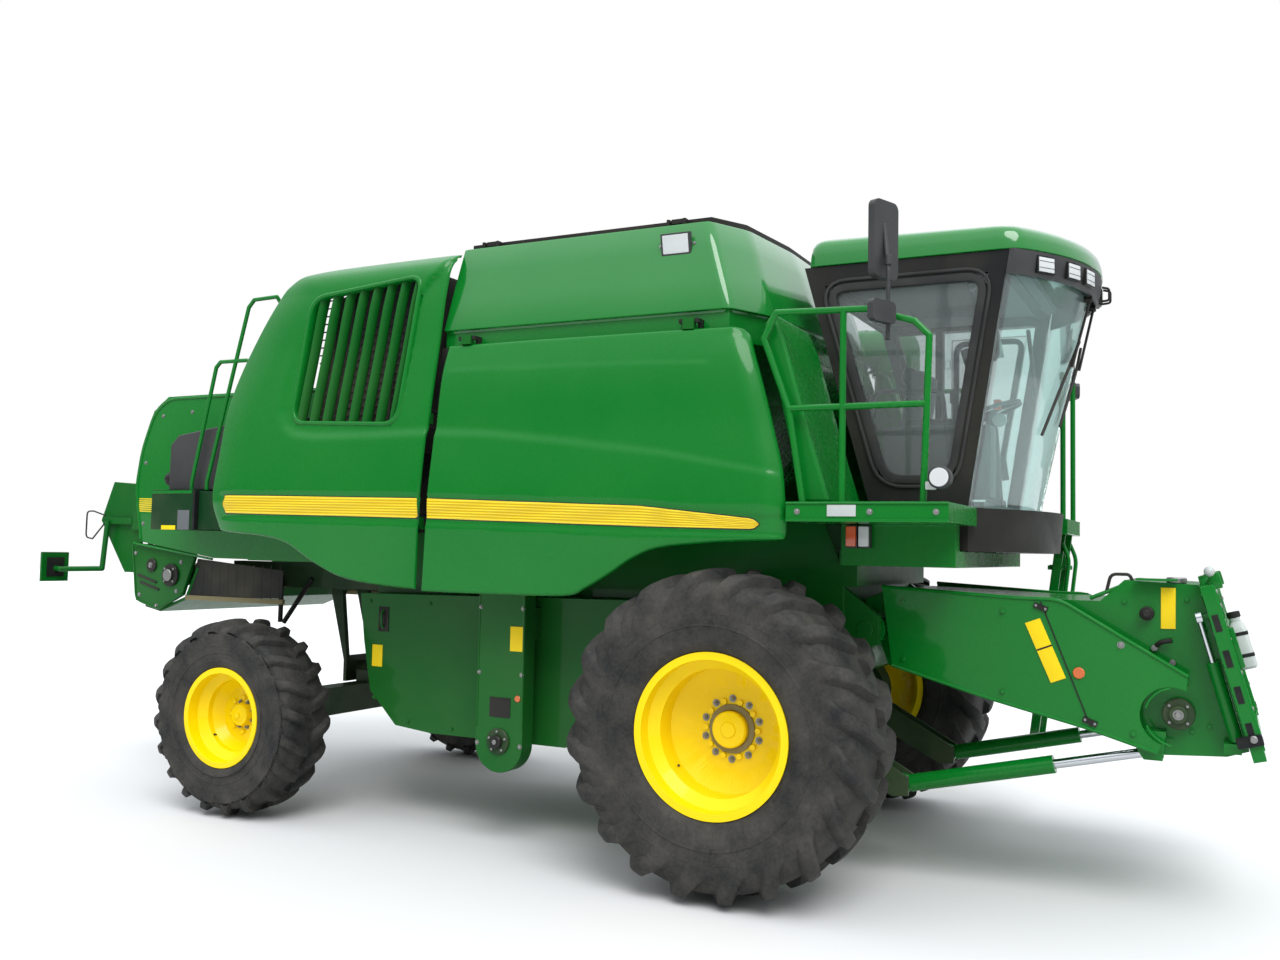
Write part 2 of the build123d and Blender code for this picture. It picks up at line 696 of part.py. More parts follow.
lamp_y = 1215.0
with BuildPart() as lamp_brackets:
    for side in (-1, 1):
        block(-5765, -5745, side * (lamp_y - 115), side * (lamp_y + 115), 1490, 1712)
        block(-5790, -5765, side * (lamp_y - 90), side * (lamp_y + 90), 1530, 1680)
        tube_path(
            [(-5750, side * lamp_y, 1590), (-5690, side * lamp_y, 1585), (-5560, side * 940, 1590), (-5520, side * 940, 1970)],
            20,
        )
        block(-5560, -5260 - pin_gap, side * (890 + pin_gap), side * 930, 1945, 1995)
finish(lamp_brackets, "lamp_brackets")

# Elevators behind the side walls' front edges
with BuildPart() as elevators:
    for side in (-1, 1):
        with BuildSketch(side_plane(side * 1160 + 60)):
            with Locations((-1590, 1300)):
                SlotOverall(1700, 340, rotation=90)
        extrude(amount=120)
        block(-1740, -1440, side * (side_wall_y + pin_gap), side * 1110, 1250, 1450)
finish(elevators, "grain_elevators")

# Cab shell, split from its door, roof and glass
cab_side = [(205, cab_top_z), (604, cab_floor_z), (1143, cab_floor_z), (1355, cab_top_z)]
cab_window_top = cab_top_z - 114
door_top = cab_top_z - 108
cab_window = [(330, cab_window_top), (1249, cab_window_top), (1066, 2225), (668, 2225)]
door_outline = [(door_rear, door_top), (1262, door_top), (1078, 2160), (door_rear, 2160)]
quarter_window = [(330, cab_window_top), (door_rear - 45, cab_window_top), (door_rear - 45, 2440)]
cab_inner = cab_half_width - cab_wall


def front_arc(bottom_corner, bottom_nose, half, height):
    """Plan outline of a bowed front: straight back edge, arc through the nose."""
    with BuildSketch(Plane.XY.offset(height)) as plan:
        with BuildLine():
            ThreePointArc((st(bottom_corner), -half), (st(bottom_nose), 0), (st(bottom_corner), half))
            Line((st(bottom_corner), half), (st(bottom_corner), -half))
        make_face()
    return plan.sketch


with BuildPart() as cab_shell:
    slab([(420, 1850), (604, cab_floor_z + 40), (1200, cab_floor_z + 40), (1200, 1850)], 0, 2 * (cab_half_width - 160))
    slab([(420, 1850), (604, cab_floor_z + 40), (1143, cab_floor_z + 40), (1143, 1850)], 0, 2 * cab_half_width)
    loft([front_arc(1142, 1500, cab_half_width, 1850), front_arc(1142, 1520, cab_half_width, cab_floor_z)])
    for side in (-1, 1):
        slab(cab_side, side * (cab_half_width - cab_wall / 2), cab_wall)
    slab(cab_window, -cab_half_width, 4 * cab_wall, Mode.SUBTRACT)
    slab(door_outline, cab_half_width, 4 * cab_wall, Mode.SUBTRACT)
    slab(quarter_window, cab_half_width, 4 * cab_wall, Mode.SUBTRACT)
    slab(
        [(205, cab_top_z), (604, cab_floor_z), (664, cab_floor_z), (265, cab_top_z)],
        0, 2 * cab_half_width,
    )
    slab([(200, cab_top_z - 110), (520, 2300), (700, 2300), (400, cab_top_z - 110)], 0, 2 * (cab_inner - 60), Mode.SUBTRACT)
    slab([(205, cab_top_z), (240, cab_top_z - 80), (330, cab_top_z - 80), (330, cab_top_z)], 0, 2 * cab_half_width)
    slab([(1290, cab_top_z), (1280, cab_top_z - 80), (1343, cab_top_z - 80), (1355, cab_top_z)], 0, 2 * cab_half_width)
finish(cab_shell, "cab_shell")

with BuildPart() as cab_roof:
    loft(
        [front_arc(1390, 1745, cab_half_width + 15, cab_top_z + pin_gap), front_arc(1385, 1700, cab_half_width - 10, cab_top_z + 160)],
    )
    slab(
        [(225, cab_top_z + pin_gap), (1391, cab_top_z + pin_gap), (1386, cab_top_z + 160), (330, cab_top_z + 185), (235, cab_top_z + 90)],
        0, 2 * (cab_half_width + 12),
    )
finish(cab_roof, "cab_roof")

with BuildPart() as cab_glass:
    loft(
        [front_arc(1144, 1384, cab_half_width - 4, cab_floor_z + 1), front_arc(1356, 1690, cab_half_width - 4, cab_top_z)],
    )
    loft(
        [
            front_arc(1144 - glass_thickness, 1384 - glass_thickness, cab_half_width - 4, cab_floor_z + 1),
            front_arc(1356 - glass_thickness, 1690 - glass_thickness, cab_half_width - 4, cab_top_z),
        ],
        mode=Mode.SUBTRACT,
    )
    slab(cab_window, -cab_half_width + cab_wall / 2, glass_thickness)
    slab(quarter_window, cab_half_width - cab_wall / 2, glass_thickness)
finish(cab_glass, "cab_glass")

# Cab door on the left, hinged at its rear edge
door_hinge = (door_rear - 18, cab_half_width + 16)
door_clear = 6.0
door_barrel_r = 10.7
with BuildPart() as cab_door:
    slab(
        [
            (door_rear + door_clear, door_top - door_clear), (1262 - door_clear - 1, door_top - door_clear),
            (1078 - door_clear - 1, 2160 + door_clear), (door_rear + door_clear, 2160 + door_clear),
        ],
        cab_half_width - door_thickness / 2, door_thickness,
    )
    slab(
        [
            (door_rear + 60, door_top - 60), (1262 - 62, door_top - 60), (1078 - 62, 2160 + 60), (door_rear + 60, 2160 + 60),
        ],
        cab_half_width, 4 * cab_wall, Mode.SUBTRACT,
    )
    slab(
        [
            (door_rear + 60, door_top - 60), (1262 - 62, door_top - 60), (1078 - 62, 2160 + 60), (door_rear + 60, 2160 + 60),
        ],
        cab_half_width - door_thickness / 2, glass_thickness,
    )
    for z in (2350, cab_top_z - 330):
        block(
            door_hinge[0], door_rear + 40, door_hinge[1] - door_barrel_r, door_hinge[1] + door_barrel_r,
            z - 28, z + 28,
        )
        bar((door_hinge[0], door_hinge[1], z - 28), (door_hinge[0], door_hinge[1], z + 28), door_barrel_r)
        block(door_rear + 10, door_rear + 40, cab_half_width - 1, door_hinge[1], z - 28, z + 28)
        bar((door_hinge[0], door_hinge[1], z - 30), (door_hinge[0], door_hinge[1], z + 30), 6.3, Mode.SUBTRACT)
finish(cab_door, "cab_door")

with BuildPart() as cab_hinges:
    for z in (2350, cab_top_z - 330):
        bar((door_hinge[0], door_hinge[1], z - 46), (door_hinge[0], door_hinge[1], z + 46), 6)
        for up in (-1, 1):
            block(door_hinge[0] - 10, door_hinge[0] + 10, cab_half_width, door_hinge[1] + 10, z + up * 36, z + up * 48)
finish(cab_hinges, "cab_hinges")

# Seat and steering column inside the cab
with BuildPart() as seat:
    block(690, 850, -130, 130, cab_floor_z + 40, 2330)
    block(620, 1000, -240, 240, 2330, 2450)
    slab([(650, 2450), (770, 2450), (670, 3000), (560, 3000)], 0, 460)
finish(seat, "seat")

with BuildPart() as steering_column:
    block(1090, 1190, -60, 60, cab_floor_z + 40 + pin_gap, cab_floor_z + 80)
    bar((1150, 0, cab_floor_z + 60), (1112, 0, 2700), 35)
    with BuildSketch(Plane(origin=(st(1112), 0, 2690), z_dir=(-0.35, 0, 1))):
        Circle(190)
        Circle(168, mode=Mode.SUBTRACT)
        Rectangle(340, 30)
    extrude(amount=22)
finish(steering_column, "steering_column")

# Platforms, railings and the boarding ladder
with BuildPart() as platforms:
    block(356, 1190, -1550, -cab_half_width - pin_gap, platform_z - 100, platform_z)
    block(356, 1450, cab_half_width + pin_gap, 1550, platform_z - 100, platform_z)
    block(430, 1120, -cab_half_width - 1, cab_half_width + 1, 1760 + pin_gap, 1850 - pin_gap)
    for side in (-1, 1):
        block(500, 1120, side * 700, side * (cab_half_width + 200), 1760 + pin_gap, 1850 - pin_gap)
        block(500, 1120, side * (cab_half_width + 100), side * (cab_half_width + 200), 1760 + pin_gap, platform_z - 90)
finish(platforms, "platforms")

rail_r = 17.0
with BuildPart() as railings:
    tube_path([(430, -1500, platform_z + 3), (349, -1500, 2575), (207, -1500, 2952), (274, -1500, 3088), (758, -1500, 3073)], rail_r)
    tube_path([(758, -1500, 3073), (1009, -1500, 2992), (1081, -1500, 2916), (1055, -1500, platform_z + 1)], rail_r)
    tube_path([(349, -1500, 2575), (1072, -1500, 2575)], rail_r)
    tube_path([(640, -1500, platform_z), (640, -1500, 3076)], rail_r)
    tube_path([(430, 1500, platform_z + 3), (349, 1500, 2575), (300, 1500, 3060), (660, 1500, 3060), (660, 1500, platform_z)], rail_r)
    tube_path([(1410, 1500, platform_z), (1410, 1500, 3060), (1410, 950, 3060), (1410, 950, platform_z)], rail_r)
finish(railings, "railings")

with BuildPart() as ladder:
    for y in (1180, 1540):
        slab([(1400, platform_z - 100.3), (1340, platform_z - 100.3), (1150, 520), (1210, 520)], y, 25)
    for i in range(5):
        z = 560 + i * 300
        x = 1180 + (z - 520) * 190 / 1465
        block(x - 60, x + 60, 1180, 1540, z - 15, z + 15)
finish(ladder, "ladder")

mirror_reach = 1500 + rail_r + 12 + 2 * pin_gap
mirror_x = {-1: 880, 1: 1410}
with BuildPart() as mirrors:
    for side in (-1, 1):
        x = mirror_x[side]
        tube_path(
            [
                (x, side * mirror_reach, 2900), (x, side * mirror_reach, 3250),
                (x - 30, side * (mirror_reach - 20), 3500),
            ],
            12,
        )
        with BuildSketch(Plane(origin=(st(x - 18), side * (mirror_reach - 30), 3420), z_dir=(-0.9, -0.35 * side, 0))):
            RectangleRounded(200, 400, 40)
        extrude(amount=40)
        with BuildSketch(Plane(origin=(st(x + 10), side * (mirror_reach + 100), 3026), z_dir=(-0.9, -0.35 * side, 0))):
            RectangleRounded(190, 110, 30)
        extrude(amount=35)
finish(mirrors, "mirrors")

# Green fairings between the front panels and the cab
with BuildPart() as cab_fairings:
    for side, outer in ((-1, 1450), (1, auger_y - auger_r - 12)):
        slab(
            [
                (180, 3040), (250, 2760), (330, 2420), (400, platform_z + pin_gap), (560, platform_z + pin_gap),
                (430, 2500), (300, 2960), (230, 3110),
            ],
            side * (cab_half_width + pin_gap + outer) / 2, outer - cab_half_width - pin_gap,
        )
finish(cab_fairings, "cab_fairings")

# Feeder house with its conveyor, side shields and lift cylinders
feeder_skin = 14.0
feeder_core = 560.0
lean = math.atan2(203.0, 743.0)
face_foot = (2480.0, 870.0)
face_top_z = 1700.0
face_top_x = face_foot[0] - (face_top_z - face_foot[1]) * math.tan(lean)
feeder_profile = [
    (500, 1560), (635, 1625), (1500, 1600), (1780, 1600), (1900, 1715), (face_top_x, face_top_z), face_foot,
    (2380, 835), (2061, 815), (1726, 915), (1183, 1045), (640, 1190),
]
feeder_bore = [
    (480, 1545), (640, 1608), (1505, 1584), (1790, 1560), (2000, 1460), (2500, 1440), (2520, 910), (2360, 860),
    (2052, 832), (1728, 932), (1185, 1062), (600, 1215),
]
shield_profile = [
    (635, 1647), (1388, 1608), (1589, 1608), (2206, 1243), (2199, 1164), (2140, 1027), (2061, 836), (1726, 934),
    (1183, 1061), (696, 1196),
]
feeder_drum = (2130, 1030)
header_pin_v = 770.0
tilt_y = 655.0
tilt_foot_v = 70.0
tilt_eye_v = 700.0
tilt_back = -38.0
tilt_barrel_r = 32.0
tilt_rod_r = 16.0
tilt_pin_r = 13.0


def on_face(v, forward=0.0):
    """Station and height of a point v up the feeder's leaning front face and forward of it."""
    return (
        face_foot[0] - v * math.sin(lean) + forward * math.cos(lean),
        face_foot[1] + v * math.cos(lean) + forward * math.sin(lean),
    )


with BuildPart() as feeder_house:
    slab(feeder_profile, 0, 2 * feeder_core)
    slab(feeder_bore, 0, 2 * (feeder_core - feeder_skin), Mode.SUBTRACT)
    for side in (-1, 1):
        bar(
            (feeder_pivot[0], side * (feeder_core - 4), feeder_pivot[1]),
            (feeder_pivot[0], side * 700, feeder_pivot[1]), feeder_boss_r,
        )
        bar(
            (feeder_pivot[0], side * (feeder_core + 60), feeder_pivot[1]),
            (feeder_pivot[0], side * 701, feeder_pivot[1]), feeder_pin_r + pin_gap, Mode.SUBTRACT,
        )
        for cheek_side in (-1, 1):
            slab(
                [
                    (lift_eye[0] - 130, lift_eye[1] + 96), (lift_eye[0] - 45, lift_eye[1] - 40),
                    (lift_eye[0] + 45, lift_eye[1] - 40), (lift_eye[0] + 60, lift_eye[1] + 96),
                ],
                side * lift_y + cheek_side * lift_cheek_y, feeder_skin,
            )
        bar(
            (lift_eye[0], side * (lift_y + lift_cheek_y), lift_eye[1]),
            (lift_eye[0], side * (lift_y + lift_cheek_y + 16), lift_eye[1]),
            lift_pin_r + 10,
        )
        block(
            lift_eye[0] - 130, lift_eye[0] + 60, side * (feeder_core - feeder_skin), side * (lift_y + lift_cheek_y + 7),
            lift_eye[1] + 84, lift_eye[1] + 108,
        )
    pin_rear = on_face(header_pin_v, -60)
    pin_front = on_face(header_pin_v, moving_gap + header_frame_depth + 12)
    bar((pin_rear[0], 0, pin_rear[1]), (pin_front[0], 0, pin_front[1]), header_pin_r)
    tilt_foot = on_face(tilt_foot_v, tilt_back)
    block(
        tilt_foot[0] - 60, tilt_foot[0] + 20, -feeder_core + 4, -tilt_y - 35,
        tilt_foot[1] - 60, tilt_foot[1] - tilt_barrel_r * math.sin(lean) - pin_gap,
    )
finish(feeder_house, "feeder_house")

# Side shields stand off the feeder house on short arms
with BuildPart() as feeder_shields:
    for side in (-1, 1):
        slab(shield_profile, side * 692, 16)
        for x, z in ((900, 1560), (1500, 1540), (900, 1180), (1600, 1010)):
            block(x - 60, x + 60, side * feeder_core, side * 686, z - 12, z + 12)
        bar(
            (feeder_drum[0], side * 600, feeder_drum[1]), (feeder_drum[0], side * 760, feeder_drum[1]),
            150, Mode.SUBTRACT,
        )
        bar(
            (feeder_pivot[0], side * 600, feeder_pivot[1]), (feeder_pivot[0], side * 760, feeder_pivot[1]),
            feeder_boss_r + pin_gap, Mode.SUBTRACT,
        )
finish(feeder_shields, "feeder_shields")

with BuildPart() as feeder_chain:
    drum_half = feeder_core - feeder_skin - pin_gap
    bar((feeder_drum[0], -drum_half, feeder_drum[1]), (feeder_drum[0], drum_half, feeder_drum[1]), 110)
finish(feeder_chain, "feeder_chain")

# Header frame: tilts about the pin above the feeder's mouth
with BuildPart() as header_frame:
    face_plane = Plane(
        origin=(st(on_face(0, moving_gap)[0]), 0, on_face(0, moving_gap)[1]),
        x_dir=(0, 1, 0), z_dir=(math.cos(lean), 0, math.sin(lean)),
    )
    with BuildSketch(face_plane):
        with Locations((0, 410)):
            Rectangle(2 * header_frame_half_width, 880)
        with Locations((0, 330)):
            Rectangle(2 * (header_frame_half_width - 150), 560, mode=Mode.SUBTRACT)
    extrude(amount=header_frame_depth)
    hole_rear = on_face(header_pin_v, 0)
    hole_front = on_face(header_pin_v, 120)
    bar((hole_rear[0], 0, hole_rear[1]), (hole_front[0], 0, hole_front[1]), header_pin_r + pin_gap, Mode.SUBTRACT)
    pin_rear = on_face(tilt_eye_v, tilt_back - 20)
    pin_front = on_face(tilt_eye_v, moving_gap + 5)
    bar((pin_rear[0], -tilt_y, pin_rear[1]), (pin_front[0], -tilt_y, pin_front[1]), tilt_pin_r)
finish(header_frame, "header_frame")


# Tilt cylinder on the right, upright behind the header frame
def tilt_bar(v_start, v_end, radius, mode=Mode.ADD):
    """Round bar on the tilt cylinder's line, between two heights up the leaning face."""
    first = on_face(v_start, tilt_back)
    last = on_face(v_end, tilt_back)
    bar((first[0], -tilt_y, first[1]), (last[0], -tilt_y, last[1]), radius, mode)


with BuildPart() as tilt_barrel:
    tilt_bar(tilt_foot_v, 470, tilt_barrel_r)
    tilt_bar(tilt_foot_v + 30, 471, tilt_rod_r + pin_gap, Mode.SUBTRACT)
finish(tilt_barrel, "tilt_barrel")

with BuildPart() as tilt_rod:
    tilt_bar(tilt_foot_v + 150, tilt_eye_v - 20, tilt_rod_r)
    eye_rear = on_face(tilt_eye_v, tilt_back - 14)
    eye_front = on_face(tilt_eye_v, tilt_back + 14)
    for shift in (-5, 8):
        bar((eye_rear[0], -tilt_y + shift, eye_rear[1]), (eye_front[0], -tilt_y + shift, eye_front[1]), 28)
    eye_rear = on_face(tilt_eye_v, tilt_back - 15)
    eye_front = on_face(tilt_eye_v, tilt_back + 15)
    for shift in (-4, -2, 0, 2, 4, 6, 7):
        bar(
            (eye_rear[0], -tilt_y + shift, eye_rear[1]), (eye_front[0], -tilt_y + shift, eye_front[1]),
            tilt_pin_r + eye_gap, Mode.SUBTRACT,
        )
finish(tilt_rod, "tilt_rod")

# Lift cylinders
lift_run = math.hypot(lift_eye[0] - lift_foot[0], lift_eye[1] - lift_foot[1])
lift_dir = ((lift_eye[0] - lift_foot[0]) / lift_run, (lift_eye[1] - lift_foot[1]) / lift_run)
lift_bore = 39.0


def along_lift(distance):
    """Station and height of a point on the lift cylinder's line, measured from its foot."""
    return (lift_foot[0] + distance * lift_dir[0], lift_foot[1] + distance * lift_dir[1])


def lift_bar(y, start, end, radius, mode=Mode.ADD):
    """Round bar on the lift cylinder's line."""
    first = along_lift(start)
    last = along_lift(end)
    bar((first[0], y, first[1]), (last[0], y, last[1]), radius, mode)


for side in (-1, 1):
    y = side * lift_y
    with BuildPart() as lift_barrel:
        lift_bar(y, 50, lift_barrel_length, lift_barrel_r)
        bar((lift_foot[0], y - 44, lift_foot[1]), (lift_foot[0], y + 44, lift_foot[1]), 56)
        lift_bar(y, 80, lift_barrel_length - 40, lift_bore, Mode.SUBTRACT)
        lift_bar(y, 100, lift_barrel_length + 1, lift_rod_r + pin_gap, Mode.SUBTRACT)
        bar((lift_foot[0], y - 60, lift_foot[1]), (lift_foot[0], y + 60, lift_foot[1]), lift_pin_r + pin_gap, Mode.SUBTRACT)
    finish(lift_barrel, "lift_barrel_" + side_name(side))
    with BuildPart() as lift_rod:
        lift_bar(y, lift_run - 900, lift_run - 30, lift_rod_r)
        lift_bar(y, lift_run - 900, lift_run - 860, lift_bore - pin_gap)
        bar((lift_eye[0], y - 32, lift_eye[1]), (lift_eye[0], y + 32, lift_eye[1]), 42)
        bar((lift_eye[0], y - 34, lift_eye[1]), (lift_eye[0], y + 34, lift_eye[1]), lift_pin_r)
    finish(lift_rod, "lift_rod_" + side_name(side))

# Unloading auger: fixed column on the left, elbow and tube that swing out
with BuildPart() as auger_column:
    bar((auger_x, auger_y, 2150), (auger_x, auger_y, auger_joint_z), auger_r)
    bar((auger_x, auger_y, 2170), (auger_x, auger_y, auger_joint_z + 1), auger_r - auger_wall, Mode.SUBTRACT)
    block(-500, auger_x - 100, auger_y - 300, auger_y, 2150, 2230)
finish(auger_column, "auger_column")

with BuildPart() as unloading_auger:
    bar((auger_x, auger_y, auger_joint_z + moving_gap), (auger_x, auger_y, auger_z), auger_r)
    with Locations((st(auger_x), auger_y, auger_z)):
        Sphere(auger_r)
    bar((auger_x, auger_y, auger_z), (auger_x - auger_length, auger_y, auger_z), auger_r)
    bar((auger_x - auger_length + 160, auger_y, auger_z), (auger_x - auger_length + 160, auger_y, auger_z - 330), 150)
    bar((auger_x, auger_y, auger_joint_z - 80), (auger_x, auger_y, auger_joint_z + 40), auger_r - auger_wall - 0.3)
    bar((auger_x, auger_y, auger_joint_z - 81), (auger_x, auger_y, auger_z), auger_r - 2 * auger_wall, Mode.SUBTRACT)
    bar(
        (auger_x, auger_y, auger_z), (auger_x - auger_length + 10, auger_y, auger_z),
        auger_r - auger_wall, Mode.SUBTRACT,
    )
    bar(
        (auger_x - auger_length + 160, auger_y, auger_z), (auger_x - auger_length + 160, auger_y, auger_z - 331),
        150 - auger_wall, Mode.SUBTRACT,
    )
finish(unloading_auger, "unloading_auger")
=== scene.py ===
import math
import json
import bmesh
import bpy
from mathutils import Matrix, Vector


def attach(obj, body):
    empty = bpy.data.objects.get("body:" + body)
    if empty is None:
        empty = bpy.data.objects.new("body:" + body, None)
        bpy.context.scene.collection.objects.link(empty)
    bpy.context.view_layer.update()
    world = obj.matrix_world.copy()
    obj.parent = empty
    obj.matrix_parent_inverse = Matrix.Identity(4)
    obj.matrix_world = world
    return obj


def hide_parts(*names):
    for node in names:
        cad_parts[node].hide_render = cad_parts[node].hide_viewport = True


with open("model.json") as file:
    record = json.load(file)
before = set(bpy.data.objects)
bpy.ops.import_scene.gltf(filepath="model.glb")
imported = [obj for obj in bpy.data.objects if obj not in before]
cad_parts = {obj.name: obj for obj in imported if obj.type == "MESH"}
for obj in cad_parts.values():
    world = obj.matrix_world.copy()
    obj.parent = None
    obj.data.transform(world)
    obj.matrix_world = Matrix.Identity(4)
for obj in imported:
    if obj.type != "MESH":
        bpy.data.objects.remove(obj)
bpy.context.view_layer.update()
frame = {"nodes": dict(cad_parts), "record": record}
nodes = frame["nodes"]
body_of_node = {}
for body_name, members in frame["record"]["behaviour"]["bodies"].items():
    for member in members:
        body_of_node[member] = body_name

# Front axle's place along X; stations are measured forward from it
AXLE = 1.615
SIDES = ((-1, "right"), (1, "left"))


def st(x):
    """World x of a station measured forward from the front axle."""
    return AXLE + x


def place(p):
    """Point in the frame: a tuple is (station, y, z), a Vector is in the frame already."""
    return p if isinstance(p, Vector) else Vector((st(p[0]), p[1], p[2]))


def srgb(r, g, b):
    """Linear colour from 0-255 screen values."""
    out = []
    for c in (r, g, b):
        c = c / 255.0
        out.append(c / 12.92 if c <= 0.04045 else ((c + 0.055) / 1.055) ** 2.4)
    return (out[0], out[1], out[2], 1.0)


# Materials

def add(tree, kind, inputs=(), feeds=(), **settings):
    """Adds a node, with its settings, its sockets' values and the outputs that feed it."""
    node = tree.nodes.new("ShaderNode" + kind)
    for key, value in settings.items():
        setattr(node, key, value)
    for key, value in dict(inputs).items():
        node.inputs[key].default_value = value
    for key, socket in dict(feeds).items():
        tree.links.new(socket, node.inputs[key])
    return node


def new_material(name):
    """Empty material with one surface shader."""
    mat = bpy.data.materials.new(name)
    mat.use_nodes = True
    tree = mat.node_tree
    tree.nodes.clear()
    shader = add(tree, "BsdfPrincipled")
    add(tree, "OutputMaterial", feeds={"Surface": shader.outputs["BSDF"]})
    return mat, tree, shader


def noise(tree, scale, detail=3.0, rough=0.5, stretch=None):
    """Noise over the object's own coordinates."""
    way = add(tree, "TexCoord").outputs["Object"]
    if stretch:
        way = add(tree, "Mapping", {"Scale": stretch}, {"Vector": way}).outputs["Vector"]
    values = {"Scale": scale, "Detail": detail, "Roughness": rough}
    return add(tree, "TexNoise", values, {"Vector": way}).outputs["Fac"]


def wave(tree, scale, distortion=0.0, direction="X"):
    """Bands across the object's own coordinates."""
    feeds = {"Vector": add(tree, "TexCoord").outputs["Object"]}
    values = {"Scale": scale, "Distortion": distortion}
    return add(tree, "TexWave", values, feeds, bands_direction=direction).outputs["Fac"]


def ramp(tree, value, low, high, a, b):
    """Colour that goes from a to b as value goes from low to high."""
    node = add(tree, "ValToRGB", feeds={"Fac": value})
    first, last = node.color_ramp.elements[0], node.color_ramp.elements[1]
    first.position, first.color = low, a
    last.position, last.color = high, b
    return node.outputs["Color"]


def spread(tree, value, low, high):
    """A 0-1 value mapped onto low to high."""
    return add(tree, "MapRange", {"To Min": low, "To Max": high}, {"Value": value}).outputs["Result"]


def dress(tree, shader, color, rough, values, height, strength, distance):
    """Feeds a surface's colour, roughness and relief, and sets its other sockets."""
    tree.links.new(color, shader.inputs["Base Color"])
    tree.links.new(rough, shader.inputs["Roughness"])
    for key, value in values.items():
        shader.inputs[key].default_value = value
    if height:
        node = add(tree, "Bump", {"Strength": strength, "Distance": distance}, {"Height": height})
        tree.links.new(node.outputs["Normal"], shader.inputs["Normal"])


def shade(color, factor):
    """The same colour, lighter or darker."""
    return (color[0] * factor, color[1] * factor, color[2] * factor, 1.0)


def toward(color, other, share):
    """Colour part of the way to another."""
    return tuple(color[i] * (1 - share) + other[i] * share for i in range(3)) + (1.0,)


def paint(name, color, rough, coat, dust):
    """Sprayed paint: faint tone drift, dust in soft patches, fine orange peel."""
    mat, tree, shader = new_material(name)
    dusty = toward(color, srgb(150, 140, 118), dust)
    tone = ramp(tree, noise(tree, 1.3, 4.0, 0.55), 0.35, 0.75, shade(color, 0.94), dusty)
    gloss = spread(tree, noise(tree, 14.0, 5.0, 0.6), rough * 0.75, min(1.0, rough * 1.35))
    values = {"Specular IOR Level": 0.12, "Coat Weight": coat * 0.42, "Coat Roughness": 0.06}
    dress(tree, shader, tone, gloss, values, noise(tree, 220.0, 2.0, 0.5), 0.02, 0.001)
    return mat


def rubber(name, color, dust):
    """Worn farm tyre rubber: grey dust in streaks, scuffed faces."""
    mat, tree, shader = new_material(name)
    patches = noise(tree, 5.0, 6.0, 0.65)
    fine = noise(tree, 55.0, 4.0, 0.6)
    mix = add(tree, "Math", {1: 0.35}, {0: fine, 2: patches}, operation="MULTIPLY_ADD")
    tone = ramp(tree, mix.outputs[0], 0.5, 0.95, color, toward(color, srgb(128, 122, 112), dust))
    gloss = spread(tree, patches, 0.55, 0.9)
    dress(tree, shader, tone, gloss, {"Specular IOR Level": 0.35}, fine, 0.25, 0.002)
    return mat


def plastic(name, color, rough):
    """Moulded plastic with a fine grain."""
    mat, tree, shader = new_material(name)
    lighter = toward(color, srgb(120, 118, 112), 0.1)
    tone = ramp(tree, noise(tree, 3.0), 0.35, 0.7, color, lighter)
    grain = noise(tree, 180.0, 3.0, 0.6)
    gloss = spread(tree, grain, rough * 0.85, min(1.0, rough * 1.2))
    dress(tree, shader, tone, gloss, {}, grain, 0.15, 0.0006)
    return mat


def metal(name, color, rough, scratch=0.1):
    """Bare or plated metal with drawn scratches."""
    mat, tree, shader = new_material(name)
    streak = noise(tree, 20.0, 4.0, 0.6, (1.0, 1.0, 60.0))
    tone = ramp(tree, streak, 0.3, 0.7, shade(color, 0.85), color)
    gloss = spread(tree, streak, rough * 0.7, min(1.0, rough * 1.4))
    dress(tree, shader, tone, gloss, {"Metallic": 1.0}, streak, scratch, 0.0005)
    return mat


def glass(name, color, side_shade_color):
    """Thin tinted pane, see-through and a little dusty, with the side windows darker than the front as
    painted shade.
    """
    side_from = 0.812
    mat, tree, shader = new_material(name)
    drift = noise(tree, 2.0)
    split = add(tree, "SeparateXYZ", feeds={0: add(tree, "TexCoord").outputs["Object"]})
    outboard = add(tree, "Math", feeds={0: split.outputs["Y"]}, operation="ABSOLUTE")
    at_side = add(tree, "Math", {1: side_from}, {0: outboard.outputs[0]}, operation="GREATER_THAN")
    dust = srgb(210, 212, 205)
    front, side = (ramp(tree, drift, 0.3, 0.8, c, toward(c, dust, 0.12)) for c in (color, side_shade_color))
    # Side panes switch to the darker colour: painted shade.
    pane_tint_and_side_shade = add(tree, "Mix", feeds={"Factor": at_side.outputs[0]}, data_type="RGBA")
    tree.links.new(front, pane_tint_and_side_shade.inputs[6])
    tree.links.new(side, pane_tint_and_side_shade.inputs[7])
    values = {
        "Transmission Weight": 0.92, "IOR": 1.02, "Specular IOR Level": 0.5, "Coat Weight": 0.8,
        "Coat Roughness": 0.02, "Alpha": 1.0,
    }
    dress(tree, shader, pane_tint_and_side_shade.outputs[2], spread(tree, drift, 0.0, 0.009), values, None, 0.0, 0.0)
    return mat


def lens(name, color, rough=0.15, ribs=120.0):
    """Moulded lamp lens with fine ribs."""
    mat, tree, shader = new_material(name)
    bands = wave(tree, ribs)
    tone = ramp(tree, bands, 0.0, 1.0, shade(color, 0.8), color)
    gloss = spread(tree, noise(tree, 30.0, 2.0), rough * 0.8, rough * 1.4)
    dress(tree, shader, tone, gloss, {"Coat Weight": 0.6}, bands, 0.3, 0.001)
    return mat


def cloth(name, color):
    """Woven seat cloth."""
    mat, tree, shader = new_material(name)
    weave = wave(tree, 160.0, 1.5)
    tone = ramp(tree, weave, 0.2, 0.8, shade(color, 0.7), color)
    gloss = spread(tree, noise(tree, 400.0, 2.0, 0.6), 0.8, 1.0)
    dress(tree, shader, tone, gloss, {"Sheen Weight": 0.3}, weave, 0.3, 0.001)
    return mat


